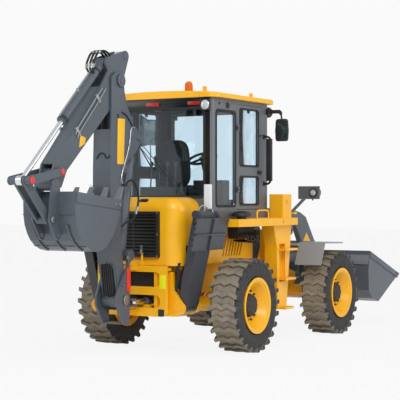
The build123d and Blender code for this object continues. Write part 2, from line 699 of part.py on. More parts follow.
def rod(base, eye, cross, length, radius, eye_radius, eye_half, bore):
    """Piston rod that ends in an eye; length is measured from the eye back into the barrel."""
    end = Vector(*eye)
    back = (Vector(*base) - end).normalized()
    pin_line = Vector(*cross)
    round_bar(end + back * (eye_radius * 0.7), end + back * length, radius)
    round_bar(end - pin_line * eye_half, end + pin_line * eye_half, eye_radius)
    round_bar(end - pin_line * (eye_half + 1), end + pin_line * (eye_half + 1), bore, mode=Mode.SUBTRACT)


# fore-and-aft cylinders: base, eye, sides, length at the widest opening, barrel length, barrel and rod radius,
# boss radius and half width at the base, eye radius and half width
cylinders = {
    "boom": (boom_base, boom_eye, (0.0,), 2425.5, 1200.0, 70.0, 35.0, 70.0, 90.0, 65.0, 45.0),
    "dipper": (dipper_base, dipper_eye, (0.0,), 1347.4, 700.0, 55.0, 30.0, 60.0, 60.0, 60.0, 40.0),
    "curl": (curl_base, curl_eye, (0.0,), 2071.3, 1075.0, 50.0, 28.0, 58.0, 60.0, 55.0, 38.0),
    "lift": (lift_base, lift_eye, (arm_x, -arm_x), 1674.3, 806.0, 46.0, 27.0, 58.0, 49.0, 52.0, 23.0),
    "tilt": (arm_pivot, crank_top, (tilt_x, -tilt_x), 1233.0, 700.0, 45.0, 25.0, 58.0, 48.0, 45.0, 22.0),
}
for name, (base, eye, sides, opened, length, radius, rod_radius, boss, half, eye_r, eye_half) in cylinders.items():
    hole = small_pin_radius if name == "lift" else pin_radius
    with BuildPart() as tube:
        for x in sides:
            barrel(at(x, base), at(x, eye), (1, 0, 0), length, radius, rod_radius, boss, half, hole + pin_clearance)
    write(tube.part, f"{name}_barrels" if len(sides) == 2 else f"{name}_barrel")
    with BuildPart() as piston:
        for x in sides:
            rod(at(x, base), at(x, eye), (1, 0, 0), opened - length + inner_end, rod_radius, eye_r, eye_half,
                small_pin_radius + eye_clearance)
    write(piston.part, f"{name}_rods" if len(sides) == 2 else f"{name}_rod")

# swing and steering cylinders: fixed barrels with sliding rods
level_cylinders = [  # name, side, seat, eye, direction, barrel radius, rod radius, stroke each way, eye radius
    ("swing", swing_x, swing_seat, king_y, -1, swing_barrel_radius, swing_rod_radius, swing_stroke, 35.0),
    ("steering", steer_cylinder_x, steer_seat, steer_eye_y, 1, steer_barrel_radius, steer_rod_radius, steer_stroke, 30.0),
]
for name, x, seat, eye, way, radius, rod_radius, stroke, eye_r in level_cylinders:
    length = 2 * stroke + inner_end + 70
    with BuildPart() as tubes:
        for place in (x, -x):
            start = Vector(place, rear_axle_y + seat + way * seat_clearance, cylinder_level)
            along = Vector(0, way, 0)
            round_bar(start, start + along * 25, radius + 22)
            round_bar(start, start + along * length, radius)
            round_bar(start + along * 60, start + along * (length + 1), rod_radius + rod_play, mode=Mode.SUBTRACT)
    write(tubes.part, f"{name}_barrels")
    rod_length = abs(eye - seat) + stroke - length + inner_end
    for hand, place in (("right", x), ("left", -x)):
        with BuildPart() as piston:
            rod((place, rear_axle_y + seat, cylinder_level), (place, rear_axle_y + eye, cylinder_level), (0, 0, 1),
                rod_length, rod_radius, eye_r, 15, 14)
        write(piston.part, f"{name}_rod_{hand}")

# ---- stabilizers ----------------------------------------------------------------
leg_length = lengths(leg_pivot, leg_tip)
leg_side_plate = 25.0
leg_web = 20.0
leg_inner_edge = -50.0        # inner and outer faces of the leg, from the line through its pins
leg_outer_edge = 70.0
pad_plate = 25.0

for hand, sign in (("right", 1), ("left", -1)):
    slope = Vector(sign * (leg_tip[0] - leg_pivot[0]), 0, leg_tip[1] - leg_pivot[1]).normalized()
    outward = Vector(sign * slope.Z, 0, -abs(slope.X))
    foot = Vector(sign * leg_pivot[0], rear_axle_y + leg_station, leg_pivot[1])
    # face of the leg: its axes are the way along the machine and the way up the leg
    face = Plane(origin=foot, x_dir=(0, sign, 0), z_dir=outward)
    with BuildPart() as leg:
        web = [(-leg_foot_half, 30), (leg_foot_half, 30), (leg_head_half, 860), (leg_head_half, leg_length),
               (-leg_head_half, leg_length), (-leg_head_half, 860)]
        inside = [(-leg_foot_half + leg_side_plate, 110), (leg_foot_half - leg_side_plate, 110),
                  (leg_head_half - leg_side_plate, 860), (leg_head_half - leg_side_plate, leg_length - 60),
                  (-leg_head_half + leg_side_plate, leg_length - 60), (-leg_head_half + leg_side_plate, 860)]
        plate(face.offset(leg_inner_edge), web, leg_outer_edge - leg_inner_edge)
        plate(face.offset(leg_inner_edge - 1), inside, leg_outer_edge - leg_inner_edge - leg_web + 1, mode=Mode.SUBTRACT)
        # foot tube round the pivot, with room for the cylinder's boss above it
        across_line = Vector(0, 1, 0)
        round_bar(foot - across_line * leg_foot_half, foot + across_line * leg_foot_half, 60)
        tip = foot + slope * leg_length
        round_bar(tip - across_line * 230, tip + across_line * 230, 48)
        # bosses at the cylinder's eye
        eye = Vector(sign * leg_eye[0], rear_axle_y + leg_station, leg_eye[1])
        for way in (1, -1):
            round_bar(eye + across_line * (way * 35), eye + across_line * (way * (leg_head_half - 5)), 48)
            round_bar(eye + across_line * (way * 34), eye + across_line * (way * (leg_head_half + 1)), 26,
                      mode=Mode.SUBTRACT)
        # pad with its ribs, folded flat against the leg
        pad = face.offset(leg_outer_edge + pad_gap)
        shift = sign * (pad_station - leg_station)
        edge = [(pad_length / 2 + (25 if step % 2 else 0), pad_foot + pad_height / 12 * step) for step in range(13)]
        plate(pad, [(shift + x, y) for x, y in edge] + [(shift - x, y) for x, y in reversed(edge)], pad_plate)
        plate(pad.offset(pad_plate - 1), [(shift - 9, pad_foot + 5), (shift + 9, pad_foot + 5),
                                          (shift + 9, pad_foot + pad_height - 5),
                                          (shift - 9, pad_foot + pad_height - 5)], 24)
        middle = pad_foot + pad_height * 0.5
        plate(pad.offset(pad_plate - 1), [(shift - pad_length / 2, middle - 9), (shift + pad_length / 2, middle - 9),
                                          (shift + pad_length / 2, middle + 9),
                                          (shift - pad_length / 2, middle + 9)], 24)
        # spacers between the pad and the leg
        for low in (pad_foot + 30, pad_foot + pad_height - 90):
            plate(face.offset(leg_outer_edge - 1), [(-leg_head_half + 20, low), (leg_head_half - 20, low),
                                                    (leg_head_half - 20, low + 60), (-leg_head_half + 20, low + 60)],
                  pad_gap + 2)
        # lugs that tie the pad to the tip
        for way in (-230, -190, 190, 230):
            lug = Plane(origin=foot + across_line * (way + sign * 10), x_dir=outward, z_dir=(0, -sign, 0))
            plate(lug,
                  [(-30, leg_length - 30), (-30, leg_length + 30), (40, leg_length + 40),
                   (leg_outer_edge + pad_gap + 10, leg_length - 20), (leg_outer_edge + pad_gap + 10, leg_length - 90),
                   (leg_outer_edge + pad_gap, leg_length - 90)], 20)
        round_bar(foot - across_line * 220, foot + across_line * 220, pin_radius + pin_clearance, mode=Mode.SUBTRACT)
    write(leg.part, f"{hand}_leg")

    base_point = (sign * leg_base[0], rear_axle_y + leg_station, leg_base[1])
    eye_point = (sign * leg_eye[0], rear_axle_y + leg_station, leg_eye[1])
    with BuildPart() as leg_tube:
        barrel(base_point, eye_point, (0, 1, 0), 560, 45, 25, 50, 50, small_pin_radius + pin_clearance)
    write(leg_tube.part, f"{hand}_leg_barrel")
    with BuildPart() as leg_piston:
        rod(base_point, eye_point, (0, 1, 0), 883.2 + 355 - 560 + inner_end, 25, 38, 28,
            small_pin_radius + eye_clearance)
    write(leg_piston.part, f"{hand}_leg_rod")

# ---- swing post, boom and dipper ---------------------------------------------------
post_inner = post_half_width - post_plate
post_front = -1388.0
swing_lugs = [(635.0, 655.0), (705.0, 725.0)]     # underside, top

with BuildPart() as swing_post:
    cheek = [(-1512, 428), (post_front, 428), (post_front, 1150), (-1310, 1235), (-1300, 1290), (-1430, 1290),
             (-1430, 1130), (-1540, 975), (-1655, 770), (-1655, 670)]
    for x in (post_inner, -post_half_width):
        plate(side(x), cheek, post_plate, corner=12)
        disc(side(x), boom_base, 70, post_plate)
        disc(side(x), boom_foot, 90, post_plate)
        disc(side(x - 1), boom_foot, pin_radius + pin_clearance, post_plate + 2, mode=Mode.SUBTRACT)
    box(-post_inner - 1, post_inner + 1, -1500, post_front, 428, 448)
    disc(level(king_low + side_clearance), (0, king_y), 75, king_high - king_low - 2 * side_clearance)
    box(-post_inner - 1, post_inner + 1, post_front - 2, king_y - 66, king_low + side_clearance, king_high - side_clearance)
    box(-60, 60, king_y - 70, king_y, king_low + side_clearance, king_high - side_clearance)
    # king pin and the boom cylinder's base pin
    disc(level(king_low - king_lug_thickness - 15), (0, king_y), pin_radius, king_high - king_low + 2 * king_lug_thickness + 30)
    disc(side(-post_inner - 1), boom_base, pin_radius, 2 * post_inner + 2)
    # arms for the swing cylinders
    for low, high in swing_lugs:
        for x in (swing_x, -swing_x):
            with BuildSketch(level(low)) as arm:
                with Locations((x, king_y)):
                    Circle(40)
                with Locations((x, (king_y + post_front) / 2 - 5)):
                    Rectangle(70, king_y - post_front + 10)
                with Locations((x, king_y)):
                    Circle(15, mode=Mode.SUBTRACT)
            extrude(arm.sketch, amount=high - low)
write(swing_post.part, "swing_post")

boom_inner = boom_half_width - boom_plate
boom_outline = [(-1712, 3369), (-1716, 3023), (-1744, 2268), (-1744, 2090), (-1700, 1440), (-1600, 1000),
                (-1545, 700), (-1400, 750), (-1440, 1000), (-1490, 1250), (-1520, 1440), (-1530, 2150), (-1400, 2330),
                (-1350, 2400), (-1160, 2516), (-1088, 2643), (-1178, 2794), (-1244, 2790), (-1273, 2881),
                (-1384, 3044), (-1440, 3209), (-1453, 3315), (-1510, 3425), (-1620, 3435)]
with BuildPart() as boom:
    for x in (boom_inner, -boom_half_width):
        plate(side(x), boom_outline, boom_plate)
        disc(side(x), boom_head, 98, boom_plate)
        disc(side(x - 1), boom_head, pin_radius + pin_clearance, boom_plate + 2, mode=Mode.SUBTRACT)
        disc(side(x), dipper_base, 70, boom_plate)
        # slot above the dipper cylinder's base
        plate(side(x - 1), [(-1600, 2560), (-1560, 2560), (-1560, 2940), (-1600, 2940)], boom_plate + 2, corner=19,
              mode=Mode.SUBTRACT)
    for x in (60, -boom_inner - 1):
        disc(side(x), boom_eye, 72, boom_inner + 1 - 60)
    disc(side(-boom_half_width - 1), boom_eye, small_pin_radius + eye_clearance, 2 * boom_half_width + 2,
         mode=Mode.SUBTRACT)
    # foot with its pin, and the closing plates between the two sides
    disc(side(-boom_half_width), boom_foot, 85, 2 * boom_half_width)
    disc(side(-post_half_width - 7), boom_foot, pin_radius, 2 * post_half_width + 14)
    disc(side(-boom_inner - 1), dipper_base, pin_radius, 2 * boom_inner + 2)
    plate(side(-boom_inner - 1),
          [(-1440, 1000), (-1490, 1250), (-1520, 1440), (-1530, 2150), (-1550, 2150), (-1540, 1440), (-1510, 1250),
           (-1475, 860), (-1420, 870)], 2 * boom_inner + 2)
    plate(side(-boom_inner - 1),
          [(-1600, 1000), (-1700, 1440), (-1744, 2090), (-1744, 2268), (-1726, 2750), (-1706, 2750), (-1724, 2268),
           (-1724, 2090), (-1680, 1440), (-1580, 1000), (-1530, 770), (-1550, 770)], 2 * boom_inner + 2)
write(boom.part, "boom")

dipper_inner = dipper_half_width - dipper_plate
guide_boss_half = 125.0
with BuildPart() as dipper:
    beam = [(-2730, 2030), (-2660, 2060), (-2561, 2246), (-1697, 2991), (-1500, 3260), (-1700, 3500), (-1900, 3241),
            (-2796, 2319), (-2870, 2110)]
    for x in (dipper_inner, -dipper_half_width):
        plate(side(x), beam, dipper_plate)
        link(x, dipper_plate, (dipper_eye, curl_base, boom_head), (65, 65, 95))
        disc(side(x), dipper_tip, 75, dipper_plate)
        disc(side(x - 1), dipper_eye, small_pin_radius + eye_clearance, dipper_plate + 2, mode=Mode.SUBTRACT)
    plate(side(-dipper_inner - 1), [(-1900, 3241), (-2796, 2319), (-2781, 2305), (-1885, 3227)], 2 * dipper_inner + 2)
    plate(side(-dipper_inner - 1), [(-2561, 2246), (-1697, 2991), (-1710, 3006), (-2574, 2261)], 2 * dipper_inner + 2)
    disc(side(-dipper_half_width), dipper_tip, 75, 2 * dipper_half_width)
    disc(side(-guide_boss_half), guide_pivot, 45, 2 * guide_boss_half)
    disc(side(-boom_half_width - 12), boom_head, pin_radius, 2 * boom_half_width + 24)
    disc(side(-dipper_inner - 1), curl_base, pin_radius, 2 * dipper_inner + 2)
    disc(side(-dipper_half_width - 1), dipper_tip, pin_radius + pin_clearance, 2 * dipper_half_width + 2,
         mode=Mode.SUBTRACT)
    disc(side(-guide_boss_half - 1), guide_pivot, small_pin_radius + pin_clearance, 2 * guide_boss_half + 2,
         mode=Mode.SUBTRACT)
write(dipper.part, "dipper")

with BuildPart() as guide_links:
    for x in (130, -150):
        link(x, 20, (guide_pivot, curl_eye), (45, 50))
    for x in (80, -131):
        disc(side(x), curl_eye, 45, 51)
    disc(side(-151), curl_eye, small_pin_radius + eye_clearance, 302, mode=Mode.SUBTRACT)
    disc(side(-150), guide_pivot, small_pin_radius, 300)
write(guide_links.part, "guide_links")

with BuildPart() as bucket_links:
    for x in (45, -75):
        link(x, 30, (link_pin, curl_eye), (50, 50), bores=((curl_eye, small_pin_radius + eye_clearance),))
    disc(side(-130), link_pin, small_pin_radius, 260)
    disc(side(-46), link_pin, 50, 92)
write(bucket_links.part, "bucket_links")


def inset(corners, walls):
    """Corners of an outline moved inwards by a wall for each edge; the outline runs anticlockwise."""
    moved = []
    for index, (x1, y1) in enumerate(corners):
        x0, y0 = corners[index - 1]
        x2, y2 = corners[(index + 1) % len(corners)]
        first, second = walls[index - 1], walls[index]
        a, b = hypot(x1 - x0, y1 - y0), hypot(x2 - x1, y2 - y1)
        ux, uy, vx, vy = (x1 - x0) / a, (y1 - y0) / a, (x2 - x1) / b, (y2 - y1) / b
        # the corner moves along both edges until it lies at both walls
        turn = ux * vy - uy * vx
        moved.append((x1 + (first * vx - second * ux) / turn, y1 + (first * vy - second * uy) / turn))
    return moved


tooth_pitch = 210.0
second_hole = (-2762.0, 1520.0)
second_hole_radius = 25.0
ear_inner_x = 100.0
ear_plate = 25.0
with BuildPart() as hoe_bucket:
    shell = [(-2745, 2010), (-2768, 1900), (-2765, 1750), (-2745, 1640), (-2700, 1540), (-2640, 1460),
             (-2560, 1397), (-2460, 1352), (-2353, 1332), (-2250, 1345), (-2150, 1392), (-2055, 1475),
             (-1980, 1575), (-1925, 1680), (-1875, 1800), (-1855, 1915)]
    wall = hoe_bucket_wall
    plate(side(-hoe_bucket_half_width), shell, 2 * hoe_bucket_half_width)
    plate(side(-hoe_bucket_half_width + wall), inset(shell, [wall] * 15 + [-80]), 2 * (hoe_bucket_half_width - wall),
          mode=Mode.SUBTRACT)
    for index in range(4):
        x = (index - 1.5) * tooth_pitch
        plate(side(x - 30), [(-1892, 1830), (-1868, 1830), (-1800, 2060), (-1875, 1935)], 60)
    for x in (ear_inner_x, -ear_inner_x - ear_plate):
        link(x, ear_plate, (dipper_tip, link_pin, second_hole), (70, 55, 50),
             bores=((link_pin, small_pin_radius + pin_clearance), (second_hole, second_hole_radius)))
    disc(side(-ear_inner_x - 1), dipper_tip, pin_radius, 2 * ear_inner_x + 2)
write(hoe_bucket.part, "hoe_bucket")

# ---- front frame ------------------------------------------------------------------
tower_plates = [(345.0, 20.0), (475.0, 20.0)]     # inner face and thickness of the loader tower's plates
front_rear_face = 1500.0
front_lugs = [(505.0, 550.0), (815.0, 855.0)]
with BuildPart() as front_frame:
    for x, thickness in tower_plates:
        if x < 400:
            cheek = [(front_rear_face, 455), (1900, 455), (2300, axle_seat + seat_clearance),
                     (2720, axle_seat + seat_clearance), (2720, 860), (2150, 1000), (2080, 1500), (1960, 1800),
                     (1740, 1800), (1640, 1250), (front_rear_face, 1000)]
        else:
            cheek = [(1600, 500), (1830, 500), (2080, 1000), (2080, 1500), (1960, 1800), (1740, 1800), (1600, 1250)]
        for near in (x, -x - thickness):
            plate(side(near), cheek, thickness)
    for near in (364, -476):
        # rear and bottom walls between the two plates of a tower
        box(near, near + 112, 1600, 1618, 500, 1500)
        box(near, near + 112, 1600, 1830, 500, 518)
    for near in (185, -500):
        disc(side(near), arm_pivot, pin_radius, 315)
    for near in (364, -476):
        disc(side(near), lift_base, small_pin_radius, 112)
    box(-365, 365, front_rear_face, front_rear_face + 35, 455, 1000)
    box(-346, 346, front_rear_face + 30, 2000, 870, 895)
    box(-346, 346, 2640, 2700, axle_seat + 80, 860)
    round_bar(at(-346, (1720, 1400)), at(346, (1720, 1400)), 55)
    for low, high in front_lugs:
        with BuildSketch(level(low)) as lug:
            with BuildLine():
                Polyline((-180, front_rear_face + 5), (-100, articulation_y), (100, articulation_y),
                         (180, front_rear_face + 5), close=True)
            make_face()
            with Locations((0, articulation_y)):
                Circle(100)
        extrude(lug.sketch, amount=high - low)
    box(-60, 60, articulation_y + 60, front_rear_face + 5, 549, 816)
    disc(level(440), (0, articulation_y), joint_pin_radius, 480)
    for low, high in swing_lugs:
        for x in (steer_cylinder_x, -steer_cylinder_x):
            with BuildSketch(level(low)) as lug:
                with Locations((x, steer_eye_y)):
                    Circle(38)
                with Locations((x, (steer_eye_y + front_rear_face + 5) / 2)):
                    Rectangle(76, front_rear_face + 5 - steer_eye_y)
                with Locations((x, steer_eye_y)):
                    Circle(15, mode=Mode.SUBTRACT)
            extrude(lug.sketch, amount=high - low)
    # arms that carry the head lamps
    for near in (494, -760):
        box(near, near + 266, 1880, 1960, 1715, 1745)
write(front_frame.part, "front_frame")

with BuildPart() as front_fenders:
    top = 1320.0
    flap = [(1910, 1010), (1925, 1005), (2072, 1305), (2672, 1290), (2670, 1310), (2060, top)]
    for near in (750, -1150):
        plate(side(near), flap, 400)
    for near in (495 + seat_clearance, -760):
        box(near, near + 265 - seat_clearance, 1980, 2060, 1270, 1306)
write(front_fenders.part, "front_fenders")

with BuildPart() as headlamps:
    for sign in (1, -1):
        foot = Vector(sign * 725, rear_axle_y + 1920, 1745 + seat_clearance)
        round_bar(foot, foot + Vector(0, 0, 30), 30)
        round_bar(foot + Vector(0, 0, 22), Vector(sign * 900, rear_axle_y + 1935, 1940), 22)
        for x, radius in ((sign * 885, 78), (sign * 1040, 78)):
            disc(across(2000), (x, 2015), radius, 70)
        box(sign * 962 - 165, sign * 962 + 165, 1925, 1945, 1925, 2105, corner=9)
write(headlamps.part, "headlamps")

# ---- loader arms, linkage and bucket ---------------------------------------------
arm_half = arm_thickness / 2
tube_radius = 80.0
sleeve_radius = 100.0
lever_inner = 270.0
lever_plate = 30.0
link_inner = 235.0
with BuildPart() as loader_arms:
    arm = [(1850, 1605), (2300, 1594), (2490, 1592), (2640, 1440), (2950, 1010), (3250, 640), (3510, 460), (3640, 560), (3200, 1290),
           (2890, 1660), (2700, 1730), (2500, 1765), (1850, 1795)]
    for x in (arm_x, -arm_x):
        plate(side(x - arm_half), arm, arm_thickness)
        for place, radius in ((arm_pivot, 95), (arm_tip, 88), (arm_tube, 112)):
            disc(side(x - arm_half), place, radius, arm_thickness)
        for place in (arm_pivot, arm_tip):
            disc(side(x - arm_half - 1), place, pin_radius + pin_clearance, arm_thickness + 2, mode=Mode.SUBTRACT)
        for near in (x - 45, x + 30):
            plate(side(near), [(2320, 1620), (2338, 1440), (2438, 1440), (2466, 1620)], 15)
            disc(side(near), lift_eye, 52, 15)
            disc(side(near - 1), lift_eye, small_pin_radius + eye_clearance, 17, mode=Mode.SUBTRACT)
        # doubler that joins the lugs to the arm
        plate(side(x - 45), [(2310, 1640), (2310, 1600), (2480, 1598), (2480, 1638)], 90)
    round_bar(at(-arm_x + arm_half - 1, arm_tube), at(arm_x - arm_half + 1, arm_tube), tube_radius)
write(loader_arms.part, "loader_arms")

with BuildPart() as bell_crank:
    for x in (lever_inner, -lever_inner - lever_plate):
        link(x, lever_plate, (crank_top, arm_tube), (48, 110))
        link(x, lever_plate, (crank_foot, arm_tube), (48, 110))
    disc(side(-lever_inner - 1), arm_tube, sleeve_radius, 2 * lever_inner + 2)
    disc(side(-lever_inner - lever_plate - 1), arm_tube, tube_radius + pin_clearance,
         2 * (lever_inner + lever_plate) + 2, mode=Mode.SUBTRACT)
    for x in (lever_inner, -lever_inner - lever_plate):
        disc(side(x - 1), crank_top, small_pin_radius + eye_clearance, lever_plate + 2, mode=Mode.SUBTRACT)
        disc(side(x - 1), crank_foot, small_pin_radius + pin_clearance, lever_plate + 2, mode=Mode.SUBTRACT)
write(bell_crank.part, "bell_crank")

with BuildPart() as tilt_links:
    for x, near in ((link_inner, link_inner), (-link_inner - 30, -lever_inner - lever_plate - 6)):
        link(x, 30, (crank_foot, bucket_link_pin), (46, 46), bores=((bucket_link_pin, small_pin_radius + eye_clearance),))
        disc(side(near), crank_foot, small_pin_radius, lever_inner + lever_plate + 6 - link_inner)
write(tilt_links.part, "tilt_links")

with BuildPart() as loader_bucket:
    shell = [(3710, 1145), (3660, 820), (3680, 550), (3830, 420), (4060, 360), (4670, 640), (4890, 750)]
    wall = loader_bucket_wall
    plate(side(-loader_bucket_half_width), shell, 2 * loader_bucket_half_width)
    plate(side(-loader_bucket_half_width + wall), inset(shell, [wall] * 6 + [-80]),
          2 * (loader_bucket_half_width - wall), mode=Mode.SUBTRACT)
    # hinge ears on both sides of each arm, and lugs for the tilt links
    for near in (360, 465, -375, -480):
        plate(side(near), [(3500, 500), (3600, 440), (3690, 450), (3690, 820), (3620, 620)], 15)
        disc(side(near), arm_tip, 75, 15)
    for near in (360, -480):
        disc(side(near), arm_tip, pin_radius, 120)
    for near in (215, 270, -230, -285):
        plate(side(near), [(3560, 780), (3680, 700), (3680, 950), (3560, 860)], 15)
        disc(side(near), bucket_link_pin, 46, 15)
        disc(side(near - 1), bucket_link_pin, small_pin_radius + eye_clearance, 17, mode=Mode.SUBTRACT)
write(loader_bucket.part, "loader_bucket")
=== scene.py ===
import math

import bmesh
import bpy
from mathutils import Matrix, Vector


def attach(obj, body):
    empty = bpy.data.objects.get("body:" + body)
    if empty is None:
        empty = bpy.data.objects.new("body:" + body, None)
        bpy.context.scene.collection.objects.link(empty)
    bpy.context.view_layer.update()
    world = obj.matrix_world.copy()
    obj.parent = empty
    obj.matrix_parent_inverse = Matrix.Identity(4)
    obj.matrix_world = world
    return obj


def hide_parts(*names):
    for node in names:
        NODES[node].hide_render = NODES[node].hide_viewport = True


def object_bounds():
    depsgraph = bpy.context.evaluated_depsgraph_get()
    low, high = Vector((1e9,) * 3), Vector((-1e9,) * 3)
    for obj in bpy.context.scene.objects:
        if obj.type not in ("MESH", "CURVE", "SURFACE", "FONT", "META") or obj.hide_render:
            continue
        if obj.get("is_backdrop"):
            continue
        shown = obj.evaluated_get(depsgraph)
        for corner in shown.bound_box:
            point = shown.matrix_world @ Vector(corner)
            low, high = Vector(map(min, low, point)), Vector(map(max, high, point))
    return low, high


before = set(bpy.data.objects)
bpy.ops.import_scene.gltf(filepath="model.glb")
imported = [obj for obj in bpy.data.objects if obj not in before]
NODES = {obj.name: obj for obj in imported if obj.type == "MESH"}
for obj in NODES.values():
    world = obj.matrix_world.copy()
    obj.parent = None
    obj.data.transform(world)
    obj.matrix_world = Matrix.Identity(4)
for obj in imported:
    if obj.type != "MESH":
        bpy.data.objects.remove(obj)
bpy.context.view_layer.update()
AXLE_Y = -0.795              # rear axle along the machine; stations below are measured from it
HANDS = (("right", 1), ("left", -1))
OUT, UP = (1, 0, 0), (0, 0, 1)


def at(x, station, z):
    """Point of the row frame from side, station and height in millimetres."""
    return Vector((x / 1000, AXLE_Y + station / 1000, z / 1000))


# ---- materials --------------------------------------------------------------
class Nodes:
    """Small wrapper that adds nodes to one material."""

    def __init__(self, name):
        self.mat = bpy.data.materials.new(name)
        self.mat.use_nodes = True
        self.tree = self.mat.node_tree
        self.shader = self.tree.nodes["Principled BSDF"]

    def add(self, kind, **values):
        node = self.tree.nodes.new(kind)
        for key, value in values.items():
            setattr(node, key, value)
        return node

    def link(self, a, b):
        self.tree.links.new(a, b)

    def feed(self, socket, value):
        """Sets a number or a colour on a socket, or links an output to it."""
        if isinstance(value, (int, float)):
            socket.default_value = value
        elif isinstance(value, tuple):
            socket.default_value = (*value, 1)
        else:
            self.link(value, socket)

    def math(self, operation, a, b=None, clamp=False):
        node = self.add("ShaderNodeMath", operation=operation, use_clamp=clamp)
        self.feed(node.inputs[0], a)
        if b is not None:
            self.feed(node.inputs[1], b)
        return node.outputs[0]

    def place(self):
        """Object coordinates, which are the row frame at rest."""
        coords = self.add("ShaderNodeTexCoord")
        split = self.add("ShaderNodeSeparateXYZ")
        self.link(coords.outputs["Object"], split.inputs[0])
        return coords.outputs["Object"], split.outputs

    def noise(self, scale, detail=4.0, rough=0.6):
        where, _ = self.place()
        node = self.add("ShaderNodeTexNoise")
        node.inputs["Scale"].default_value = scale
        node.inputs["Detail"].default_value = detail
        node.inputs["Roughness"].default_value = rough
        self.link(where, node.inputs["Vector"])
        return node.outputs["Fac"]

    def ramp(self, value, stops):
        node = self.add("ShaderNodeValToRGB")
        for element, (position, colour) in zip(node.color_ramp.elements, stops):
            element.position, element.color = position, (*colour, 1)
        self.link(value, node.inputs[0])
        return node.outputs[0]

    def mix(self, share, a, b):
        node = self.add("ShaderNodeMix", data_type="RGBA")
        for index, value in ((0, share), (6, a), (7, b)):
            self.feed(node.inputs[index], value)
        return node.outputs[2]

    def bump(self, height, strength, distance):
        node = self.add("ShaderNodeBump")
        node.inputs["Strength"].default_value = strength
        node.inputs["Distance"].default_value = distance
        self.link(height, node.inputs["Height"])
        self.link(node.outputs[0], self.shader.inputs["Normal"])

    def put(self, name, value):
        self.feed(self.shader.inputs[name], value)


def srgb(r, g, b):
    """Linear colour from screen values, 0 to 255."""
    return tuple((v / 255 / 12.92 if v <= 10 else ((v / 255 + 0.055) / 1.055) ** 2.4)
                 for v in (r, g, b))


DUST = srgb(150, 135, 110)
DUST_TOP = 1.3               # metres over the floor where the dust ends
BLACK, WHITE = (0, 0, 0), (1, 1, 1)


def scaled(colour, share):
    return tuple(min(1.0, c * share) for c in colour)


def paint(name, colour, rough, coat, dust):
    """Sprayed paint: faint orange peel, slow change of tone, dust low down and in patches."""
    n = Nodes(name)
    colour = srgb(*colour)
    tone = n.ramp(n.noise(1.7, 3), [(0.3, scaled(colour, 0.93)), (0.7, scaled(colour, 1.05))])
    speck = n.ramp(n.noise(24, 6, rough=0.75), [(0.60, BLACK), (0.78, WHITE)])
    _, xyz = n.place()
    low = n.math("SUBTRACT", 1.0, n.math("DIVIDE", xyz[2], DUST_TOP, clamp=True), clamp=True)
    share = n.math("MULTIPLY", n.math("ADD", n.math("MULTIPLY", low, 0.8), 0.25), speck)
    n.put("Base Color", n.mix(n.math("MULTIPLY", share, dust * 3), tone, DUST))
    n.put("Roughness", n.math("ADD", n.math("MULTIPLY", n.noise(9, 4), 0.16), rough - 0.08))
    n.put("Coat Weight", coat)
    n.put("Coat Roughness", 0.18)
    n.bump(n.noise(90, 2), 0.06, 0.0015)
    return n.mat


def plain(name, colour, rough=0.5, metal=0.0, grain=150, strength=0.1, spread=0.12):
    """Moulded or machined stuff with a fine grain."""
    n = Nodes(name)
    colour = srgb(*colour)
    n.put("Base Color", n.ramp(n.noise(6, 5), [(0.3, scaled(colour, 1 - spread)),
                                               (0.7, scaled(colour, 1 + spread))]))
    n.put("Roughness", n.math("ADD", n.math("MULTIPLY", n.noise(20, 4), 0.2), rough - 0.1))
    n.put("Metallic", metal)
    n.bump(n.noise(grain, 3), strength, 0.001)
    return n.mat


def clear(name, colour):
    """Tinted clear glass; the colour is linear."""
    n = Nodes(name)
    n.put("Base Color", n.ramp(n.noise(3, 2), [(0.2, scaled(colour, 0.985)), (0.8, colour)]))
    n.put("Transmission Weight", 1.0)
    n.put("Roughness", 0.02)
    n.put("IOR", 1.45)
    return n.mat


def tyre_rubber(name):
    """Dust on the tread and its lugs, black rubber on the sidewalls, and a fine bump."""
    n = Nodes(name)
    coords = n.add("ShaderNodeTexCoord")
    split = n.add("ShaderNodeSeparateXYZ")
    n.link(coords.outputs["Normal"], split.inputs[0])
    facing = n.math("SUBTRACT", 1.0, n.math("ABSOLUTE", split.outputs[0]), clamp=True)
    facing = n.math("MULTIPLY", n.math("SUBTRACT", facing, 0.35), 2.4, clamp=True)
    dust = n.ramp(n.noise(7, 6, rough=0.7),
            [(0.25, srgb(122, 113, 99)), (0.75, srgb(160, 148, 130))])
    rubber = n.ramp(n.noise(16, 4), [(0.3, srgb(44, 44, 46)), (0.7, srgb(62, 62, 63))])
    n.put("Base Color", n.mix(facing, rubber, dust))
    n.put("Roughness", 0.82)
    n.bump(n.noise(120, 5), 0.25, 0.002)
    return n.mat


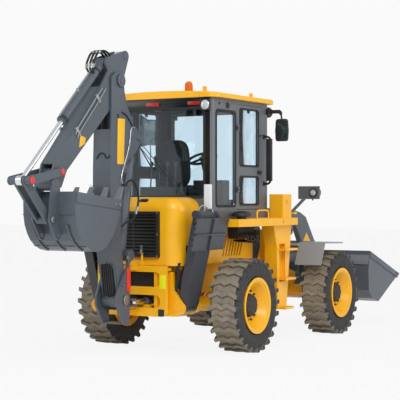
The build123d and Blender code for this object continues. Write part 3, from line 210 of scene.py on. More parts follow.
M = {
    "yellow": paint("machine_yellow", (246, 180, 16), 0.38, 0.12, dust=0.05),
    "grey": paint("implement_grey", (80, 87, 95), 0.42, 0.15, dust=0.08),
    "dark": paint("stabilizer_grey", (55, 58, 66), 0.45, 0.12, dust=0.08),
    "cab": paint("cab_grey", (97, 100, 104), 0.40, 0.2, dust=0.05),
    "fender": paint("fender_grey", (150, 152, 154), 0.45, 0.1, dust=0.15),
    "black": plain("black_plastic", (34, 35, 37), 0.5, grain=260, strength=0.15),
    "rubber": plain("black_rubber", (26, 26, 27), 0.62, grain=300, strength=0.2),
    "grille": plain("grille_black", (30, 29, 27), 0.55, grain=200),
    "hose": plain("hose_rubber", (24, 24, 26), 0.5, grain=420, strength=0.35),
    "chrome": plain("rod_chrome", (232, 233, 236), 0.3, 1.0, 500, 0.02, 0.03),
    "steel": plain("bare_steel", (150, 148, 144), 0.42, 0.9, grain=220, strength=0.15),
    "iron": plain("engine_iron", (52, 50, 48), 0.7, 0.3, grain=60, strength=0.4),
    "red": paint("safety_red", (224, 48, 38), 0.35, 0.3, dust=0.02),
    "tyre": tyre_rubber("tyre_rubber"),
    "glass": clear("window_glass", (0.806, 0.916, 0.977)),
    "seat": plain("seat_cloth", (30, 34, 34), 0.85, grain=520, strength=0.5),
    "console": plain("console_plastic", (58, 66, 66), 0.6, grain=340, strength=0.25),
    "gloss_black": plain("gloss_black", (14, 15, 17), 0.22, grain=60, strength=0.03, spread=0.04),
    "red_lens": plain("red_lens", (168, 26, 18), 0.22, grain=40, strength=0.02, spread=0.05),
    "amber": plain("amber_lens", (214, 106, 20), 0.2, grain=30, strength=0.02, spread=0.06),
    # pale lens colour: painted reflection of the glass and the chrome reflector behind it
    "lamp_lens_glint": plain("lamp_lens_glint", (206, 210, 212), 0.2, 0.35, 90, 0.25, 0.08),
    "mirror": plain("mirror_glass", (62, 68, 68), 0.12, 0.6, grain=10, strength=0.02, spread=0.1),
    "sign": plain("blank_sign", (244, 186, 40), 0.4, grain=240, strength=0.05, spread=0.04),
    "worn": plain("worn_steel", (118, 121, 125), 0.48, 0.35, grain=180, strength=0.2, spread=0.1),
    "white": paint("white_paint", (232, 233, 235), 0.35, 0.2, dust=0.02),
    "lime": plain("reflector_sheet", (238, 234, 22), 0.3, grain=600, strength=0.1, spread=0.05),
    "orange": plain("orange_lens", (242, 138, 24), 0.2, grain=60, strength=0.05, spread=0.06),
    # dark lining: the cab trim's own dark colour plus painted shade of the closed cab, and painted
    # shade in openings
    "lining_and_shade": plain("dark_lining_and_shade", (40, 46, 46), 0.85, grain=420, strength=0.3),
    "pipe": plain("plated_pipe", (168, 171, 172), 0.36, 0.75, 160, 0.05, 0.06),
    "cast": plain("cast_iron", (62, 57, 52), 0.62, 0.25, grain=90, strength=0.35),
    "soot": plain("heat_black", (44, 42, 40), 0.66, 0.2, grain=120, strength=0.3),
}

looks = {
    "yellow": ["rear_hood", "step_towers", "cab_roof", "front_frame", "rear_frame", "front_axle",
               "rear_axle", "lift_barrels", "tilt_barrels", "steering_barrels", "front_right_rim",
               "front_left_rim", "rear_right_rim", "rear_left_rim"],
    "grey": ["boom", "dipper", "guide_links", "bucket_links", "swing_post", "hoe_bucket",
             "loader_bucket", "loader_arms", "bell_crank", "tilt_links", "boom_barrel",
             "curl_barrel", "dipper_barrel", "swing_barrels"],
    "dark": ["right_leg", "left_leg", "right_leg_barrel", "left_leg_barrel"],
    "cab": ["cab_shell", "right_door", "left_door", "headlamps"],
    "fender": ["front_fenders"],
    "black": ["cab_lamps", "cab_rails"],
    "grille": ["rear_grille"],
    "chrome": ["boom_rod", "dipper_rod", "curl_rod", "lift_rods", "tilt_rods", "swing_rod_right",
               "swing_rod_left", "steering_rod_right", "steering_rod_left", "right_leg_rod",
               "left_leg_rod"],
    "tyre": ["rear_right_tyre", "rear_left_tyre", "front_right_tyre", "front_left_tyre"],
    "glass": ["cab_glass"],
    "seat": ["operator_seat"],
    "console": ["operator_console"],
    "iron": ["engine_block"],
}
for look, names in looks.items():
    for name in names:
        slots = NODES[name].data.materials
        slots.clear()
        slots.append(M[look])

# ---- mesh kit -----------------------------------------------------------------
def circle(steps):
    return [(math.cos(2 * math.pi * k / steps), math.sin(2 * math.pi * k / steps))
            for k in range(steps)]


class Build:
    """Collects mesh parts, in millimetres from the rear axle, into one piece after another.

    A piece of the left side is built as the right one and turned over when it is done."""

    def __init__(self, sign=1):
        self.bm = bmesh.new()
        self.sign = sign

    def stitch(self, rings):
        """Faces between each ring of points and the next."""
        for a, b in zip(rings, rings[1:]):
            for k in range(len(a)):
                m = (k + 1) % len(a)
                self.bm.faces.new((a[k], a[m], b[m], b[k]))

    def prism(self, corners, shift, bevel=0.0):
        """Polygon of points (x, station, z) pushed along a vector in millimetres."""
        low = [self.bm.verts.new(at(*c)) for c in corners]
        move = Vector(shift) / 1000
        high = [self.bm.verts.new(v.co + move) for v in low]
        faces = [self.bm.faces.new(low), self.bm.faces.new(high[::-1])]
        for i in range(len(low)):
            j = (i + 1) % len(low)
            faces.append(self.bm.faces.new((low[j], low[i], high[i], high[j])))
        if bevel:
            edges = list({e for f in faces for e in f.edges})
            bmesh.ops.bevel(self.bm, geom=edges, offset=bevel / 1000, segments=2,
                    affect="EDGES", profile=0.6)

    def block(self, x0, x1, y0, y1, z0, z1, bevel=3.0):
        self.prism([(x0, y0, z0), (x1, y0, z0), (x1, y1, z0), (x0, y1, z0)],
                (0, 0, z1 - z0), bevel)

    def lathe(self, centre, axis, profile, steps=40):
        """Shape turned about an axis; the profile is (along, radius) and closes on itself."""
        turn = Vector(axis).to_track_quat("Z", "Y").to_matrix()
        rings = []
        for along, radius in profile:
            rings.append([self.bm.verts.new(at(*centre) + turn @ Vector(
                (radius * u, radius * v, along)) / 1000) for u, v in circle(steps)])
        self.stitch(rings + rings[:1])

    def tube(self, points, radius, steps=12, smooth=6):
        """Pipe or hose along a smooth line through the points."""
        p = [at(*q) for q in points]
        line = []
        if smooth and len(p) > 2:
            for i in range(len(p) - 1):
                a, b, c, d = p[max(i - 1, 0)], p[i], p[i + 1], p[min(i + 2, len(p) - 1)]
                for k in range(smooth):
                    t = k / smooth
                    line.append(0.5 * ((2 * b) + (c - a) * t + (2 * a - 5 * b + 4 * c - d) * t * t
                                       + (3 * b - a - 3 * c + d) * t ** 3))
            line.append(p[-1])
        else:
            line = p
        side, rings = None, []
        for i, q in enumerate(line):
            way = (line[min(i + 1, len(line) - 1)] - line[max(i - 1, 0)]).normalized()
            if side is None:
                over = Matrix.Diagonal((self.sign, 1, 1))
                side = (over @ (over @ way).orthogonal()).normalized()
            side = (side - way * side.dot(way)).normalized()
            up = way.cross(side)
            rings.append([self.bm.verts.new(q + (side * u + up * v) * radius / 1000)
                          for u, v in circle(steps)])
        self.stitch(rings)
        self.bm.faces.new(rings[0][::-1])
        self.bm.faces.new(rings[-1])

    def frame_ring(self, flat, rect, corner, width, depth):
        """Rounded window seal; flat maps (u, v) to a point, rect is (u0, u1, v0, v1)."""
        def outline(grow):
            u0, u1, v0, v1 = rect[0] - grow, rect[1] + grow, rect[2] - grow, rect[3] + grow
            r = max(corner + grow, 2)
            out = []
            for cu, cv, start in ((u1 - r, v1 - r, 0), (u0 + r, v1 - r, 90),
                                  (u0 + r, v0 + r, 180), (u1 - r, v0 + r, 270)):
                for k in range(7):
                    a = math.radians(start + 15 * k)
                    out.append((cu + r * math.cos(a), cv + r * math.sin(a)))
            return out
        move = Vector(depth) / 1000
        outer, inner = width / 2, -width / 2
        loops = []
        for grow, lift in ((outer, 0.0), (outer, 0.8), (outer - 3, 1.0), (inner + 3, 1.0),
                           (inner, 0.8), (inner, 0.0)):
            loops.append([self.bm.verts.new(at(*flat(u, v)) + move * lift)
                          for u, v in outline(grow)])
        self.stitch(loops + loops[:1])

    def grid(self, flat, us, vs, holes, shift):
        """Sheet on a grid of lines without the cells in holes; flat maps (u, v) to points."""
        move = Vector(shift) / 1000
        corner = {}

        def vert(i, j, top):
            if (i, j, top) not in corner:
                lift = move if top else Vector()
                corner[i, j, top] = self.bm.verts.new(at(*flat(us[i], vs[j])) + lift)
            return corner[i, j, top]
        cells = {(i, j) for i in range(len(us) - 1) for j in range(len(vs) - 1)} - set(holes)
        for i, j in cells:
            loop = [(i, j), (i + 1, j), (i + 1, j + 1), (i, j + 1)]
            self.bm.faces.new([vert(*c, 0) for c in loop])
            self.bm.faces.new([vert(*c, 1) for c in reversed(loop)])
            for k, (di, dj) in enumerate(((0, -1), (1, 0), (0, 1), (-1, 0))):
                if (i + di, j + dj) not in cells:
                    a, b = loop[k], loop[(k + 1) % 4]
                    self.bm.faces.new((vert(*b, 0), vert(*a, 0), vert(*a, 1), vert(*b, 1)))

    def done(self, name, body, look, angle=32, replaces=()):
        """Makes the named piece, which rides on a body and may replace CAD nodes."""
        if self.sign < 0:
            self.bm.transform(Matrix.Diagonal((-1, 1, 1, 1)))
            self.bm.normal_update()
        bmesh.ops.recalc_face_normals(self.bm, faces=self.bm.faces)
        mesh = bpy.data.meshes.new(name)
        self.bm.to_mesh(mesh)
        self.bm.clear()
        for face in mesh.polygons:
            face.use_smooth = True
        mesh.set_sharp_from_angle(angle=math.radians(angle))
        mesh.materials.append(M[look])
        thing = bpy.data.objects.new(name, mesh)
        bpy.context.scene.collection.objects.link(thing)
        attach(thing, body)
        for node in replaces:
            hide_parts(node)
        return thing


# ---- cab ------------------------------------------------------------------------
CAB_REAR, CAB_FRONT, CAB_X, CAB_TOP = -510, 1020, 800, 3190
REAR_GLASS_X, REAR_GLASS_LOW, REAR_GLASS_TOP = 690, 1950, 3060
WORK_LAMP_X, WORK_LAMP_Z, WORK_LAMP_OUT = 748, CAB_TOP - 102, 80
DOOR_REAR, DOOR_FRONT = 205, 725             # stations of the panes' ends
DOOR_PANES = ((1855, 2215), (2355, 3085))    # bottom and top of the lower and the upper pane
HINGE_HEIGHTS = (2015, 2800)
RAIL_Y, RAIL_LOW, RAIL_TOP = 880, 2130, 2750
MIRROR_X, MIRROR_Z = CAB_X + 220, 2841

# black face round the rear window, with a band and two red lamps above it
b = Build()
b.grid(lambda u, v: (u, CAB_REAR - 0.5, v), (-768, -REAR_GLASS_X, REAR_GLASS_X, 768),
       (1952, 1953, 3062, CAB_TOP - 8), ((1, 1),), (0, -3, 0))
b.block(-REAR_GLASS_X, REAR_GLASS_X, CAB_REAR - 10, CAB_REAR - 3.6, 3072, CAB_TOP - 12, 2)
b.done("rear_fascia", "rear_chassis", "gloss_black")
for side, x0, x1 in (("left", -150, 45), ("right", 465, 640)):
    b = Build()
    b.block(x0, x1, CAB_REAR - 30, CAB_REAR - 9.5, 3096, 3142, 7)
    for k in range(1, 6):
        x = x0 + (x1 - x0) * k / 6
        b.block(x - 1.5, x + 1.5, CAB_REAR - 31.5, CAB_REAR - 28, 3102, 3136, 0)
    b.done(f"tail_lamp_{side}", "rear_chassis", "red_lens")

# work lamps: rim with its shell, and domed lens in a pale colour that paints the glint of its
# glass and reflector
for hand, sign in HANDS:
    for end, face, out in (("rear", CAB_REAR - WORK_LAMP_OUT, -1),
                           ("front", CAB_FRONT + WORK_LAMP_OUT, 1)):
        b = Build(sign)
        b.lathe((WORK_LAMP_X, face, WORK_LAMP_Z), (0, out, 0),
                [(-60, 40), (-20, 60), (4, 69), (9, 69), (10, 65), (10, 60), (4, 59)], 32)
        b.done(f"work_lamp_rim_{end}_{hand}", "rear_chassis", "black")
        b.lathe((WORK_LAMP_X, face + out, WORK_LAMP_Z), (0, out, 0),
                [(0, 59), (6, 59), (12, 50), (17, 30), (18.5, 0.5)], 32)
        b.done(f"work_lamp_lens_{end}_{hand}", "rear_chassis", "lamp_lens_glint")

# beacon: ribbed amber dome on a black foot
b = Build()
beacon = (150, 20, CAB_TOP + 95)
rows = [(26, 52), (30, 54)]
rows += [(34 + 8 * k + d, 53 - 0.35 * k + 2 * (d > 1)) for k in range(12) for d in (0, 4)]
rows += [(130, 49), (144, 44), (155, 36), (163, 24), (167, 10), (167.5, 1)]
b.lathe(beacon, UP, rows, 40)
b.done("beacon_dome", "rear_chassis", "amber")
b.lathe(beacon, UP, [(0.5, 60), (18, 60), (24, 56), (25.5, 54), (25.5, 50)], 40)
b.done("beacon_foot", "rear_chassis", "black")

# window seals
for hand, sign in HANDS:
    b = Build(sign)
    b.frame_ring(lambda u, v: (CAB_X + 0.5, u, v), (-410, 88, 1838, 3035), 40, 30, (7, 0, 0))
    b.done(f"side_window_seal_{hand}", "rear_chassis", "rubber")
b = Build()
rear_pane = (-REAR_GLASS_X, REAR_GLASS_X, REAR_GLASS_LOW, REAR_GLASS_TOP)
b.frame_ring(lambda u, v: (u, CAB_REAR - 0.5, v), rear_pane, 60, 34, (0, -8, 0))
b.done("rear_window_seal", "rear_chassis", "rubber")
b.frame_ring(lambda u, v: (u, CAB_FRONT + 0.5, v), (-690, 690, 1900, 3090), 60, 34, (0, 8, 0))
b.done("front_window_seal", "rear_chassis", "rubber")

# round vent above the side window and the cable eye beside it
for hand, sign in HANDS:
    b = Build(sign)
    b.lathe((CAB_X, -120, 3105), OUT, [(0.5, 38), (10, 38), (14, 33), (14, 24), (9, 22), (9, 8),
            (16, 7), (16, 0.5)], 32)
    b.lathe((CAB_X, -330, 3120), OUT, [(0.5, 16), (8, 15), (11, 9), (11, 0.5)], 20)
    b.done(f"side_vent_{hand}", "rear_chassis", "black")

# doors: frame, seals, panes, hinges and latch
for hand, sign in HANDS:
    body = f"{hand}_door"
    inner = CAB_X - 44.5
    b = Build(sign)
    b.grid(lambda u, v: (inner, u, v), (136, DOOR_REAR, DOOR_FRONT, 794),
           (1796, *DOOR_PANES[0], *DOOR_PANES[1], 3134), ((1, 1), (1, 3)), (44, 0, 0))
    # hinge leaves and knuckles, as on the frame behind them
    for z in HINGE_HEIGHTS:
        b.lathe((CAB_X + 12, 122, z + 2), UP, [(0, 10.5), (22, 10.5), (23, 8.5), (25, 8.5),
                (26, 10.5), (66, 10.5)], 20)
        b.block(CAB_X + 1, CAB_X + 12, 124, 188, z + 2, z + 68, 3)
    b.done(f"{hand}_door_frame", body, "cab", replaces=(f"{hand}_door",))
    for low, high in DOOR_PANES:
        b.frame_ring(lambda u, v: (CAB_X + 0.2, u, v), (DOOR_REAR, DOOR_FRONT, low, high), 34,
                26, (6, 0, 0))
        b.frame_ring(lambda u, v: (inner - 0.2, u, v), (DOOR_REAR, DOOR_FRONT, low, high), 34,
                26, (-5, 0, 0))
    b.done(f"{hand}_door_seals", body, "rubber")
    for low, high in DOOR_PANES:
        b.block(CAB_X - 26, CAB_X - 20, DOOR_REAR - 5, DOOR_FRONT + 5, low - 5, high + 5, 1)
    b.done(f"{hand}_door_panes", body, "glass")
    b.block(CAB_X + 1, CAB_X + 18, 690, 780, 2250, 2300, 6)
    b.block(CAB_X + 16, CAB_X + 33, 700, 768, 2262, 2288, 6)
    for z in (HINGE_HEIGHTS[0] + 35, HINGE_HEIGHTS[1] + 35):
        for station in (150, 174):
            b.lathe((CAB_X + 12, station, z), OUT, [(0, 9), (5, 9), (7, 5), (7, 0.5)], 6)
    # bent rail on the door and the latch of the upper pane
    out = CAB_X + 42
    b.tube([(CAB_X + 1, 640, 2372), (out, 640, 2378), (out, 640, 2440), (out, 640, 2700),
            (out, 672, 2750), (out, 745, 2762), (CAB_X + 1, 752, 2762)], 7, 10, 5)
    b.lathe((CAB_X - 18, 465, 3068), OUT, [(0, 32), (12, 32), (16, 26), (16, 0.5)], 20)
    b.done(f"{hand}_door_latch", body, "black")

# grab rails, mirror arms and mirrors
for hand, sign in HANDS:
    b = Build(sign)
    x = CAB_X + 95
    b.tube([(CAB_X + 1, RAIL_Y, RAIL_LOW), (CAB_X + 60, RAIL_Y, RAIL_LOW), (x, RAIL_Y, 2165),
            (x, RAIL_Y, 2250), (x, RAIL_Y, 2630), (x, RAIL_Y, 2715),
            (CAB_X + 60, RAIL_Y, RAIL_TOP), (CAB_X + 1, RAIL_Y, RAIL_TOP)], 15, 14, 5)
    for z in (RAIL_LOW, RAIL_TOP):
        b.lathe((CAB_X, RAIL_Y, z), OUT, [(0.5, 34), (7, 34), (9, 30), (9, 16)], 24)
    # broad padded sleeve along it
    sleeve = [(-42, -12), (-34, -20), (34, -20), (42, -12), (42, 12), (34, 20),
            (-34, 20), (-42, 12)]
    b.prism([(x - 14 + u, RAIL_Y + v, 2165) for u, v in sleeve], (0, 0, 560), 6)
    b.done(f"grab_rails_{hand}", "rear_chassis", "black",
           replaces=("cab_rails",) if sign > 0 else ())
    m = MIRROR_X
    b.block(CAB_X + 1, CAB_X + 55, 935, 1000, 3050, 3125, 8)
    b.prism([(CAB_X + 40, 958, 3062), (CAB_X + 40, 958, 3112), (m - 30, 958, 3112), (m, 958, 3085),
            (m + 6, 958, 3040), (m - 26, 958, 3040), (m - 40, 958, 3068)], (0, 24, 0), 7)
    b.tube([(m - 10, 970, 3050), (m - 4, 970, 3010), (m, 970, 2965)], 12, 12, 4)
    b.done(f"mirror_arm_{hand}", "rear_chassis", "black")
    shape = [(-90, -120), (-80, -143), (-60, -149), (60, -149), (80, -143), (90, -120), (94, 0),
            (88, 118), (76, 142), (52, 149), (-52, 149), (-76, 142), (-88, 118), (-94, 0)]
    b.prism([(m + u, 992, MIRROR_Z + v) for u, v in shape], (0, -34, 0), 9)
    b.done(f"mirror_shell_{hand}", "rear_chassis", "black")
    b.prism([(m + u * 0.86, 957.5, MIRROR_Z + v * 0.9) for u, v in shape], (0, -4, 0), 1.5)
    b.done(f"mirror_glass_{hand}", "rear_chassis", "mirror")

# wiper on the rear window
b = Build()
b.lathe((395, CAB_REAR, 1962), (0, -1, 0), [(0, 24), (14, 24), (20, 18), (26, 16), (26, 0.5)], 24)
b.tube([(395, CAB_REAR - 22, 1962), (140, CAB_REAR - 24, 2250),
        (-190, CAB_REAR - 16, 2590)], 5, 8, 0)
b.tube([(330, CAB_REAR - 22, 1960), (90, CAB_REAR - 24, 2235),
        (-225, CAB_REAR - 16, 2560)], 5, 8, 0)
b.tube([(-60, CAB_REAR - 13, 2300), (-330, CAB_REAR - 13, 2700)], 8, 8, 0)
b.done("rear_wiper", "rear_chassis", "black")

# ---- hood -------------------------------------------------------------------------
BROW_STATION, BROW_Z = -994, 1909    # middle of the curve from the rear face to the top
HALF_RIGHT = 0.7071                  # sine of 45 degrees
# radiator core behind the louvres
b = Build()
b.block(-345, 345, -1000, -975, 1225, 1765, 2)
for k in range(43):
    x = -336 + 16 * k
    b.block(x - 1.2, x + 1.2, -1006, -999, 1235, 1755, 0)
b.done("radiator_core", "rear_chassis", "grille")
# bolts of the grille's frame
for x in (-352, 352):
    for z in (1232, 1495, 1758):
        b.lathe((x, -1079.8, z), (0, -1, 0), [(0, 9), (4, 9), (6, 6), (6, 0.5)], 6)
b.done("grille_bolts", "rear_chassis", "steel")


def on_brow(x, t, n):
    """Point on the hood's curved edge, sloped 45 degrees: up the slope by t and out of it by n."""
    return x, BROW_STATION + HALF_RIGHT * (t - n), BROW_Z + HALF_RIGHT * (t + n)


b = Build()
b.prism([on_brow(45, 0, -4), on_brow(60, -28, -4), on_brow(165, -28, -4), on_brow(180, 0, -4),
        on_brow(165, 26, -4), on_brow(60, 26, -4)], (0, -5.7, 5.7), 2)
b.prism([on_brow(75, -12, 4), on_brow(150, -12, 4), on_brow(150, 12, 4), on_brow(75, 12, 4)],
        (0, -6, 6), 2)
b.done("hood_latch", "rear_chassis", "black")

# ---- platforms ----------------------------------------------------------------------
PLATFORM_Z = 1675
HOSE_ROW, HOSE_STEP = 220, 85        # first station and spacing of the valve block's outlets

for hand, sign in HANDS:
    b = Build(sign)
    b.lathe((930, 10, PLATFORM_Z), UP, [(0.3, 66), (26, 64), (30, 113.5), (33, 122), (58, 124),
            (72, 119), (86, 98), (96, 64), (101, 30), (102, 0.5)], 48)
    b.done(f"breather_cap_{hand}", "rear_chassis", "black")
    x = 1040
    b.tube([(x, 228, 1676), (x, 228, 1745), (x, 262, 1778), (x, 508, 1778), (x, 542, 1745),
            (x, 542, 1676)], 11, 12, 5)
    for station in (228, 542):
        b.lathe((x, station, PLATFORM_Z), UP, [(0.3, 22), (5, 22), (7, 12)], 20)
    b.done(f"platform_rail_{hand}", "rear_chassis", "yellow")
    # raised tread plate with rows of studs
    x0, x1 = 808, 1072
    b.block(x0, x1, 250, 940, 1675.3, 1679, 1)
    for i in range(5):
        for j in range(14):
            b.lathe((x0 + 28 + i * 52, 275 + j * 49, 1678.5), UP, [(0, 9), (2.5, 7), (3.2, 3)], 8)
    b.done(f"tread_plate_{hand}", "rear_chassis", "yellow")
    # valve block, tank and hoses between the platform and the hood
    b.block(650, 790, 180, 620, 1415, 1560, 8)
    b.block(690, 800, 640, 780, 1380, 1520, 12)
    for k in range(5):
        b.lathe((790, HOSE_ROW + k * HOSE_STEP, 1470), OUT, [(0, 26), (18, 26), (22, 20), (60, 19),
                (64, 12), (72, 12)], 16)
    b.done(f"valve_block_{hand}", "rear_chassis", "soot")
    for k in range(4):
        y = HOSE_ROW + k * HOSE_STEP
        b.tube([(855, y, 1470), (885, y + 5, 1455), (892, y + 40, 1415 - k * 6),
                (850, y + 90, 1385 - k * 6), (760, y + 120, 1378 - k * 6),
                (626, y + 134, 1392)], 12, 8, 5)
    b.done(f"platform_hoses_{hand}", "rear_chassis", "hose")

# ---- inside of the cab -----------------------------------------------------------
LINING_X, LINING_LOW, LINING_TOP = CAB_X - 46, 1662, 3186

# dark lining inside the cab: the trim's own dark colour together with painted shade of the cab's
# inside
b = Build()
b.grid(lambda u, v: (u, CAB_FRONT - 46, v), (-752, -700, 700, 752),
       (LINING_LOW, 1888, 3102, LINING_TOP), ((1, 1),), (0, -5, 0))
b.block(-752, 752, -460, 970, 3183, 3187, 0)
b.block(-752, 752, -460, 970, 1660.5, 1666, 0)
for sign in (1, -1):
    for stations, heights, holes in (
            ((-460, -418, 96, 122), (LINING_LOW, 1830, 3043, LINING_TOP), ((1, 1),)),
            ((808, 970), (LINING_LOW, LINING_TOP), ()), ((122, 808), (LINING_LOW, 1786), ())):
        b.grid(lambda u, v: (sign * LINING_X, u, v), stations, heights, holes, (-sign * 4, 0, 0))
b.done("cab_lining", "rear_chassis", "lining_and_shade")
# door linings in the same dark colour, with the same painted shade
for hand, sign in HANDS:
    b = Build(sign)
    b.grid(lambda u, v: (CAB_X - 45, u, v), (138, 196, 734, 792),
           (1798, 1846, 2224, 2346, 3094, 3132), ((1, 1), (1, 3)), (-3, 0, 0))
    b.done(f"{hand}_door_lining", f"{hand}_door", "lining_and_shade")


def cushion(name, centre, size, lean, puff):
    """Soft block: a rounded box swollen in the middle of its faces, with piping round its edge."""
    b = Build()
    turn = Matrix.Rotation(math.radians(lean), 3, "X")
    across, up = 36, 22                  # faces round and over the cushion
    rows = []
    for j in range(up + 1):
        lat = -math.pi / 2 + math.pi * j / up
        row = []
        for i in range(across):
            lon = 2 * math.pi * i / across
            p = [math.cos(lat) * math.cos(lon), math.cos(lat) * math.sin(lon), math.sin(lat)]
            q = [math.copysign(abs(c) ** 0.5, c) for c in p]
            swell = 1 + puff * (1 - min(1, q[0] ** 2)) * (1 - min(1, q[1] ** 2) * 0.5)
            local = Vector((q[0] * size[0] / 2, q[1] * size[1] / 2, q[2] * size[2] / 2 * swell))
            row.append(b.bm.verts.new(at(*centre) + turn @ local / 1000))
        rows.append(row)
    b.stitch(rows)
    bmesh.ops.remove_doubles(b.bm, verts=b.bm.verts, dist=0.0004)
    loop = []
    for k in range(33):
        a = 2 * math.pi * k / 32
        u, v = (math.copysign(abs(f(a)) ** 0.4, f(a)) for f in (math.cos, math.sin))
        local = turn @ Vector((u * size[0] * 0.435, v * size[1] * 0.435, size[2] * 0.33))
        loop.append((centre[0] + local.x, centre[1] + local.y, centre[2] + local.z))
    b.tube(loop, 6, 8, 2)
    for share in (-0.2, 0.2):
        seam = []
        for k in range(9):
            rise = 0.43 + 0.11 * math.sin(math.pi * k / 8)
            local = turn @ Vector((share * size[0], (k / 8 - 0.5) * size[1] * 0.8, size[2] * rise))
            seam.append((centre[0] + local.x, centre[1] + local.y, centre[2] + local.z))
        b.tube(seam, 4, 6, 2)
    thing = b.done(name, "rear_chassis", "seat", 50)
    return thing


PUFF = 0.10
base = cushion("seat_cushion", (0, 150, 2025), (510, 530, 150), 0, PUFF)
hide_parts("operator_seat")
cushion("seat_back", (0, -118, 2382), (480, 610, 130), 97.5, PUFF)
# bellows under the seat, its foot and the two back tubes
b = Build()
for k in range(6):
    grow = 6 * (k % 2)
    b.block(-190 - grow, 190 + grow, -20 - grow, 320 + grow, 1680 + 44 * k, 1722 + 44 * k, 8)
b.block(-205, 205, -35, 335, 1660.4, 1682, 5)
for sign in (1, -1):
    b.tube([(sign * 215, -60, 1965), (sign * 222, -150, 2120),
            (sign * 222, -215, 2480)], 12, 10, 5)
b.done("seat_pedestal", "rear_chassis", "rubber")

# ---- wheels --------------------------------------------------------------------
WHEEL_X, WHEEL_Z, FRONT_AXLE = 975, 588.5, 2598
NUT_RING, CAP_RING = 186, 109        # radii of the two bolt circles


def on_hub(axle, radius, degrees):
    """Point on a bolt circle of a wheel at the axle's station."""
    a = math.radians(degrees)
    return WHEEL_X, axle + radius * math.cos(a), WHEEL_Z + radius * math.sin(a)


for end, axle in (("rear", 0), ("front", FRONT_AXLE)):
    for hand, sign in HANDS:
        body = f"{end}_{hand}_wheel"
        b = Build(sign)
        b.lathe((WHEEL_X, axle, WHEEL_Z), OUT, [(60.4, 150), (63, 152), (72, 150), (74, 142),
                (108, 136), (121, 124), (123, 96), (127, 92), (128, 40), (134, 36),
                (134, 0.5)], 40)
        for k in range(12):
            b.lathe(on_hub(axle, NUT_RING, 30 * k + 15), OUT,
                    [(60.3, 17), (64, 17), (65, 13), (80, 13), (81, 9), (88, 8)], 6)
        for k in range(8):
            b.lathe(on_hub(axle, CAP_RING, 45 * k), OUT, [(122, 9), (129, 9), (131, 6)], 6)
        b.done(f"{body}_hub", body, "cast")
        b.lathe((WHEEL_X, axle, WHEEL_Z), OUT, [(176, 307), (192, 309), (199.5, 326), (200.5, 344),
                (197, 353), (190, 353.5), (186, 335), (170, 312)], 56)
        b.done(f"{body}_lock_ring", body, "yellow")

# ---- swing post and boom ----------------------------------------------------------
BOOM_FACE, TOP_BOSS_FACE = 125.5, 137.5      # side faces of the boom and of its top boss
POST_FACE = 165
LOCK_Y, LOCK_LOW, LOCK_TOP, LOCK_RADIUS = -1424, 845, 1070, 38
CURL_PIN = (-1743, 3532)                     # base of the curl cylinder on the dipper
DIPPER_PIN, DIPPER_EYE = (-1450, 2300), (-1370, 3645)
ARM_PIN = (1850, 1700)                       # upper pin of the loader arms
# hoses that go up into the recess in the boom's foot
b = Build()
for k in range(6):
    x = -70 + 28 * k
    b.tube([(x, -1652, 1150), (x, -1636, 1030), (x, -1614, 880), (x, -1603, 800),
            (x, -1588, 772)], 11, 10, 6)
b.done("boom_foot_hoses", "boom", "hose")
# dark plate across the opening in the boom's foot: painted shade inside the opening
b.prism([(-88, -1628, 1110), (-88, -1608, 1005), (-88, -1558, 770), (-88, -1548, 770),
        (-88, -1598, 1005), (-88, -1618, 1110)], (176, 0, 0))
b.done("boom_foot_recess_shade", "boom", "lining_and_shade")
# rim of the recess, and pin heads on the boom
b.tube([(0, -1640, 1168), (64, -1634, 1148), (96, -1622, 1090), (98, -1603, 980), (98, -1578, 865),
        (80, -1562, 785), (0, -1553, 748), (-80, -1562, 785), (-98, -1578, 865), (-98, -1603, 980),
        (-96, -1622, 1090), (-64, -1634, 1148), (0, -1640, 1168)], 12, 10, 5)
for sign in (1, -1):
    for (station, z), radius, face in (((-1530, 3337), 78, TOP_BOSS_FACE),
            ((-1130, 2670), 44, BOOM_FACE), (DIPPER_PIN, 52, BOOM_FACE)):
        b.lathe((sign * face, station, z), (sign, 0, 0),
                [(0, radius), (9, radius), (12, radius - 5), (12, radius * 0.55),
                (20, radius * 0.52), (22, radius * 0.4), (22, 0.5)], 36)
b.done("boom_pin_heads", "boom", "grey")
# plate, painted shade of a slot, pipe and hose on each side of the boom
for hand, sign in HANDS:
    b = Build(sign)
    x = BOOM_FACE - 0.1
    b.prism([(x, -1602, 2342), (x, -1462, 2342), (x, -1436, 2885), (x, -1590, 2885)], (3, 0, 0), 1)
    b.done(f"boom_plate_{hand}", "boom", "sign")
    # black tube along the slot: painted shade inside it
    x = 127
    b.tube([(x, -1505, 2962), (x, -1430, 2938), (x, -1350, 2882), (x, -1284, 2812)], 12, 10, 6)
    b.done(f"boom_slot_shade_{hand}", "boom", "gloss_black")
    x = 135
    b.tube([(x, -1222, 2790), (x, -1290, 2790), (x, -1322, 2735), (x, -1347, 2608),
            (x, -1390, 2480), (x, -1458, 2348), (x, -1510, 2230), (x, -1528, 2160),
            (x, -1500, 2110)], 7, 10, 6)
    for station, z in ((-1353, 2585), (-1470, 2322)):
        b.block(125.3, 147, station - 16, station + 16, z - 18, z + 18, 3)
    b.done(f"boom_pipe_{hand}", "boom", "pipe")
    x = 148
    b.tube([(138, -1500, 2100), (x, -1450, 2090), (x, -1415, 2125), (x, -1340, 2150),
            (x, -1262, 2125), (x, -1195, 2025), (x, -1172, 1925), (x, -1205, 1805),
            (x, -1262, 1715), (x, -1340, 1665), (140, -1440, 1640), (128, -1505, 1600)], 13, 12, 6)
    b.done(f"boom_hose_{hand}", "boom", "hose")
    b.lathe((x, -1196, 1832), (0, -0.42, -0.91), [(0, 16), (6, 19), (30, 19), (34, 15), (70, 15),
            (74, 19), (92, 19), (96, 15)], 6)
    b.done(f"boom_hose_fitting_{hand}", "boom", "pipe")
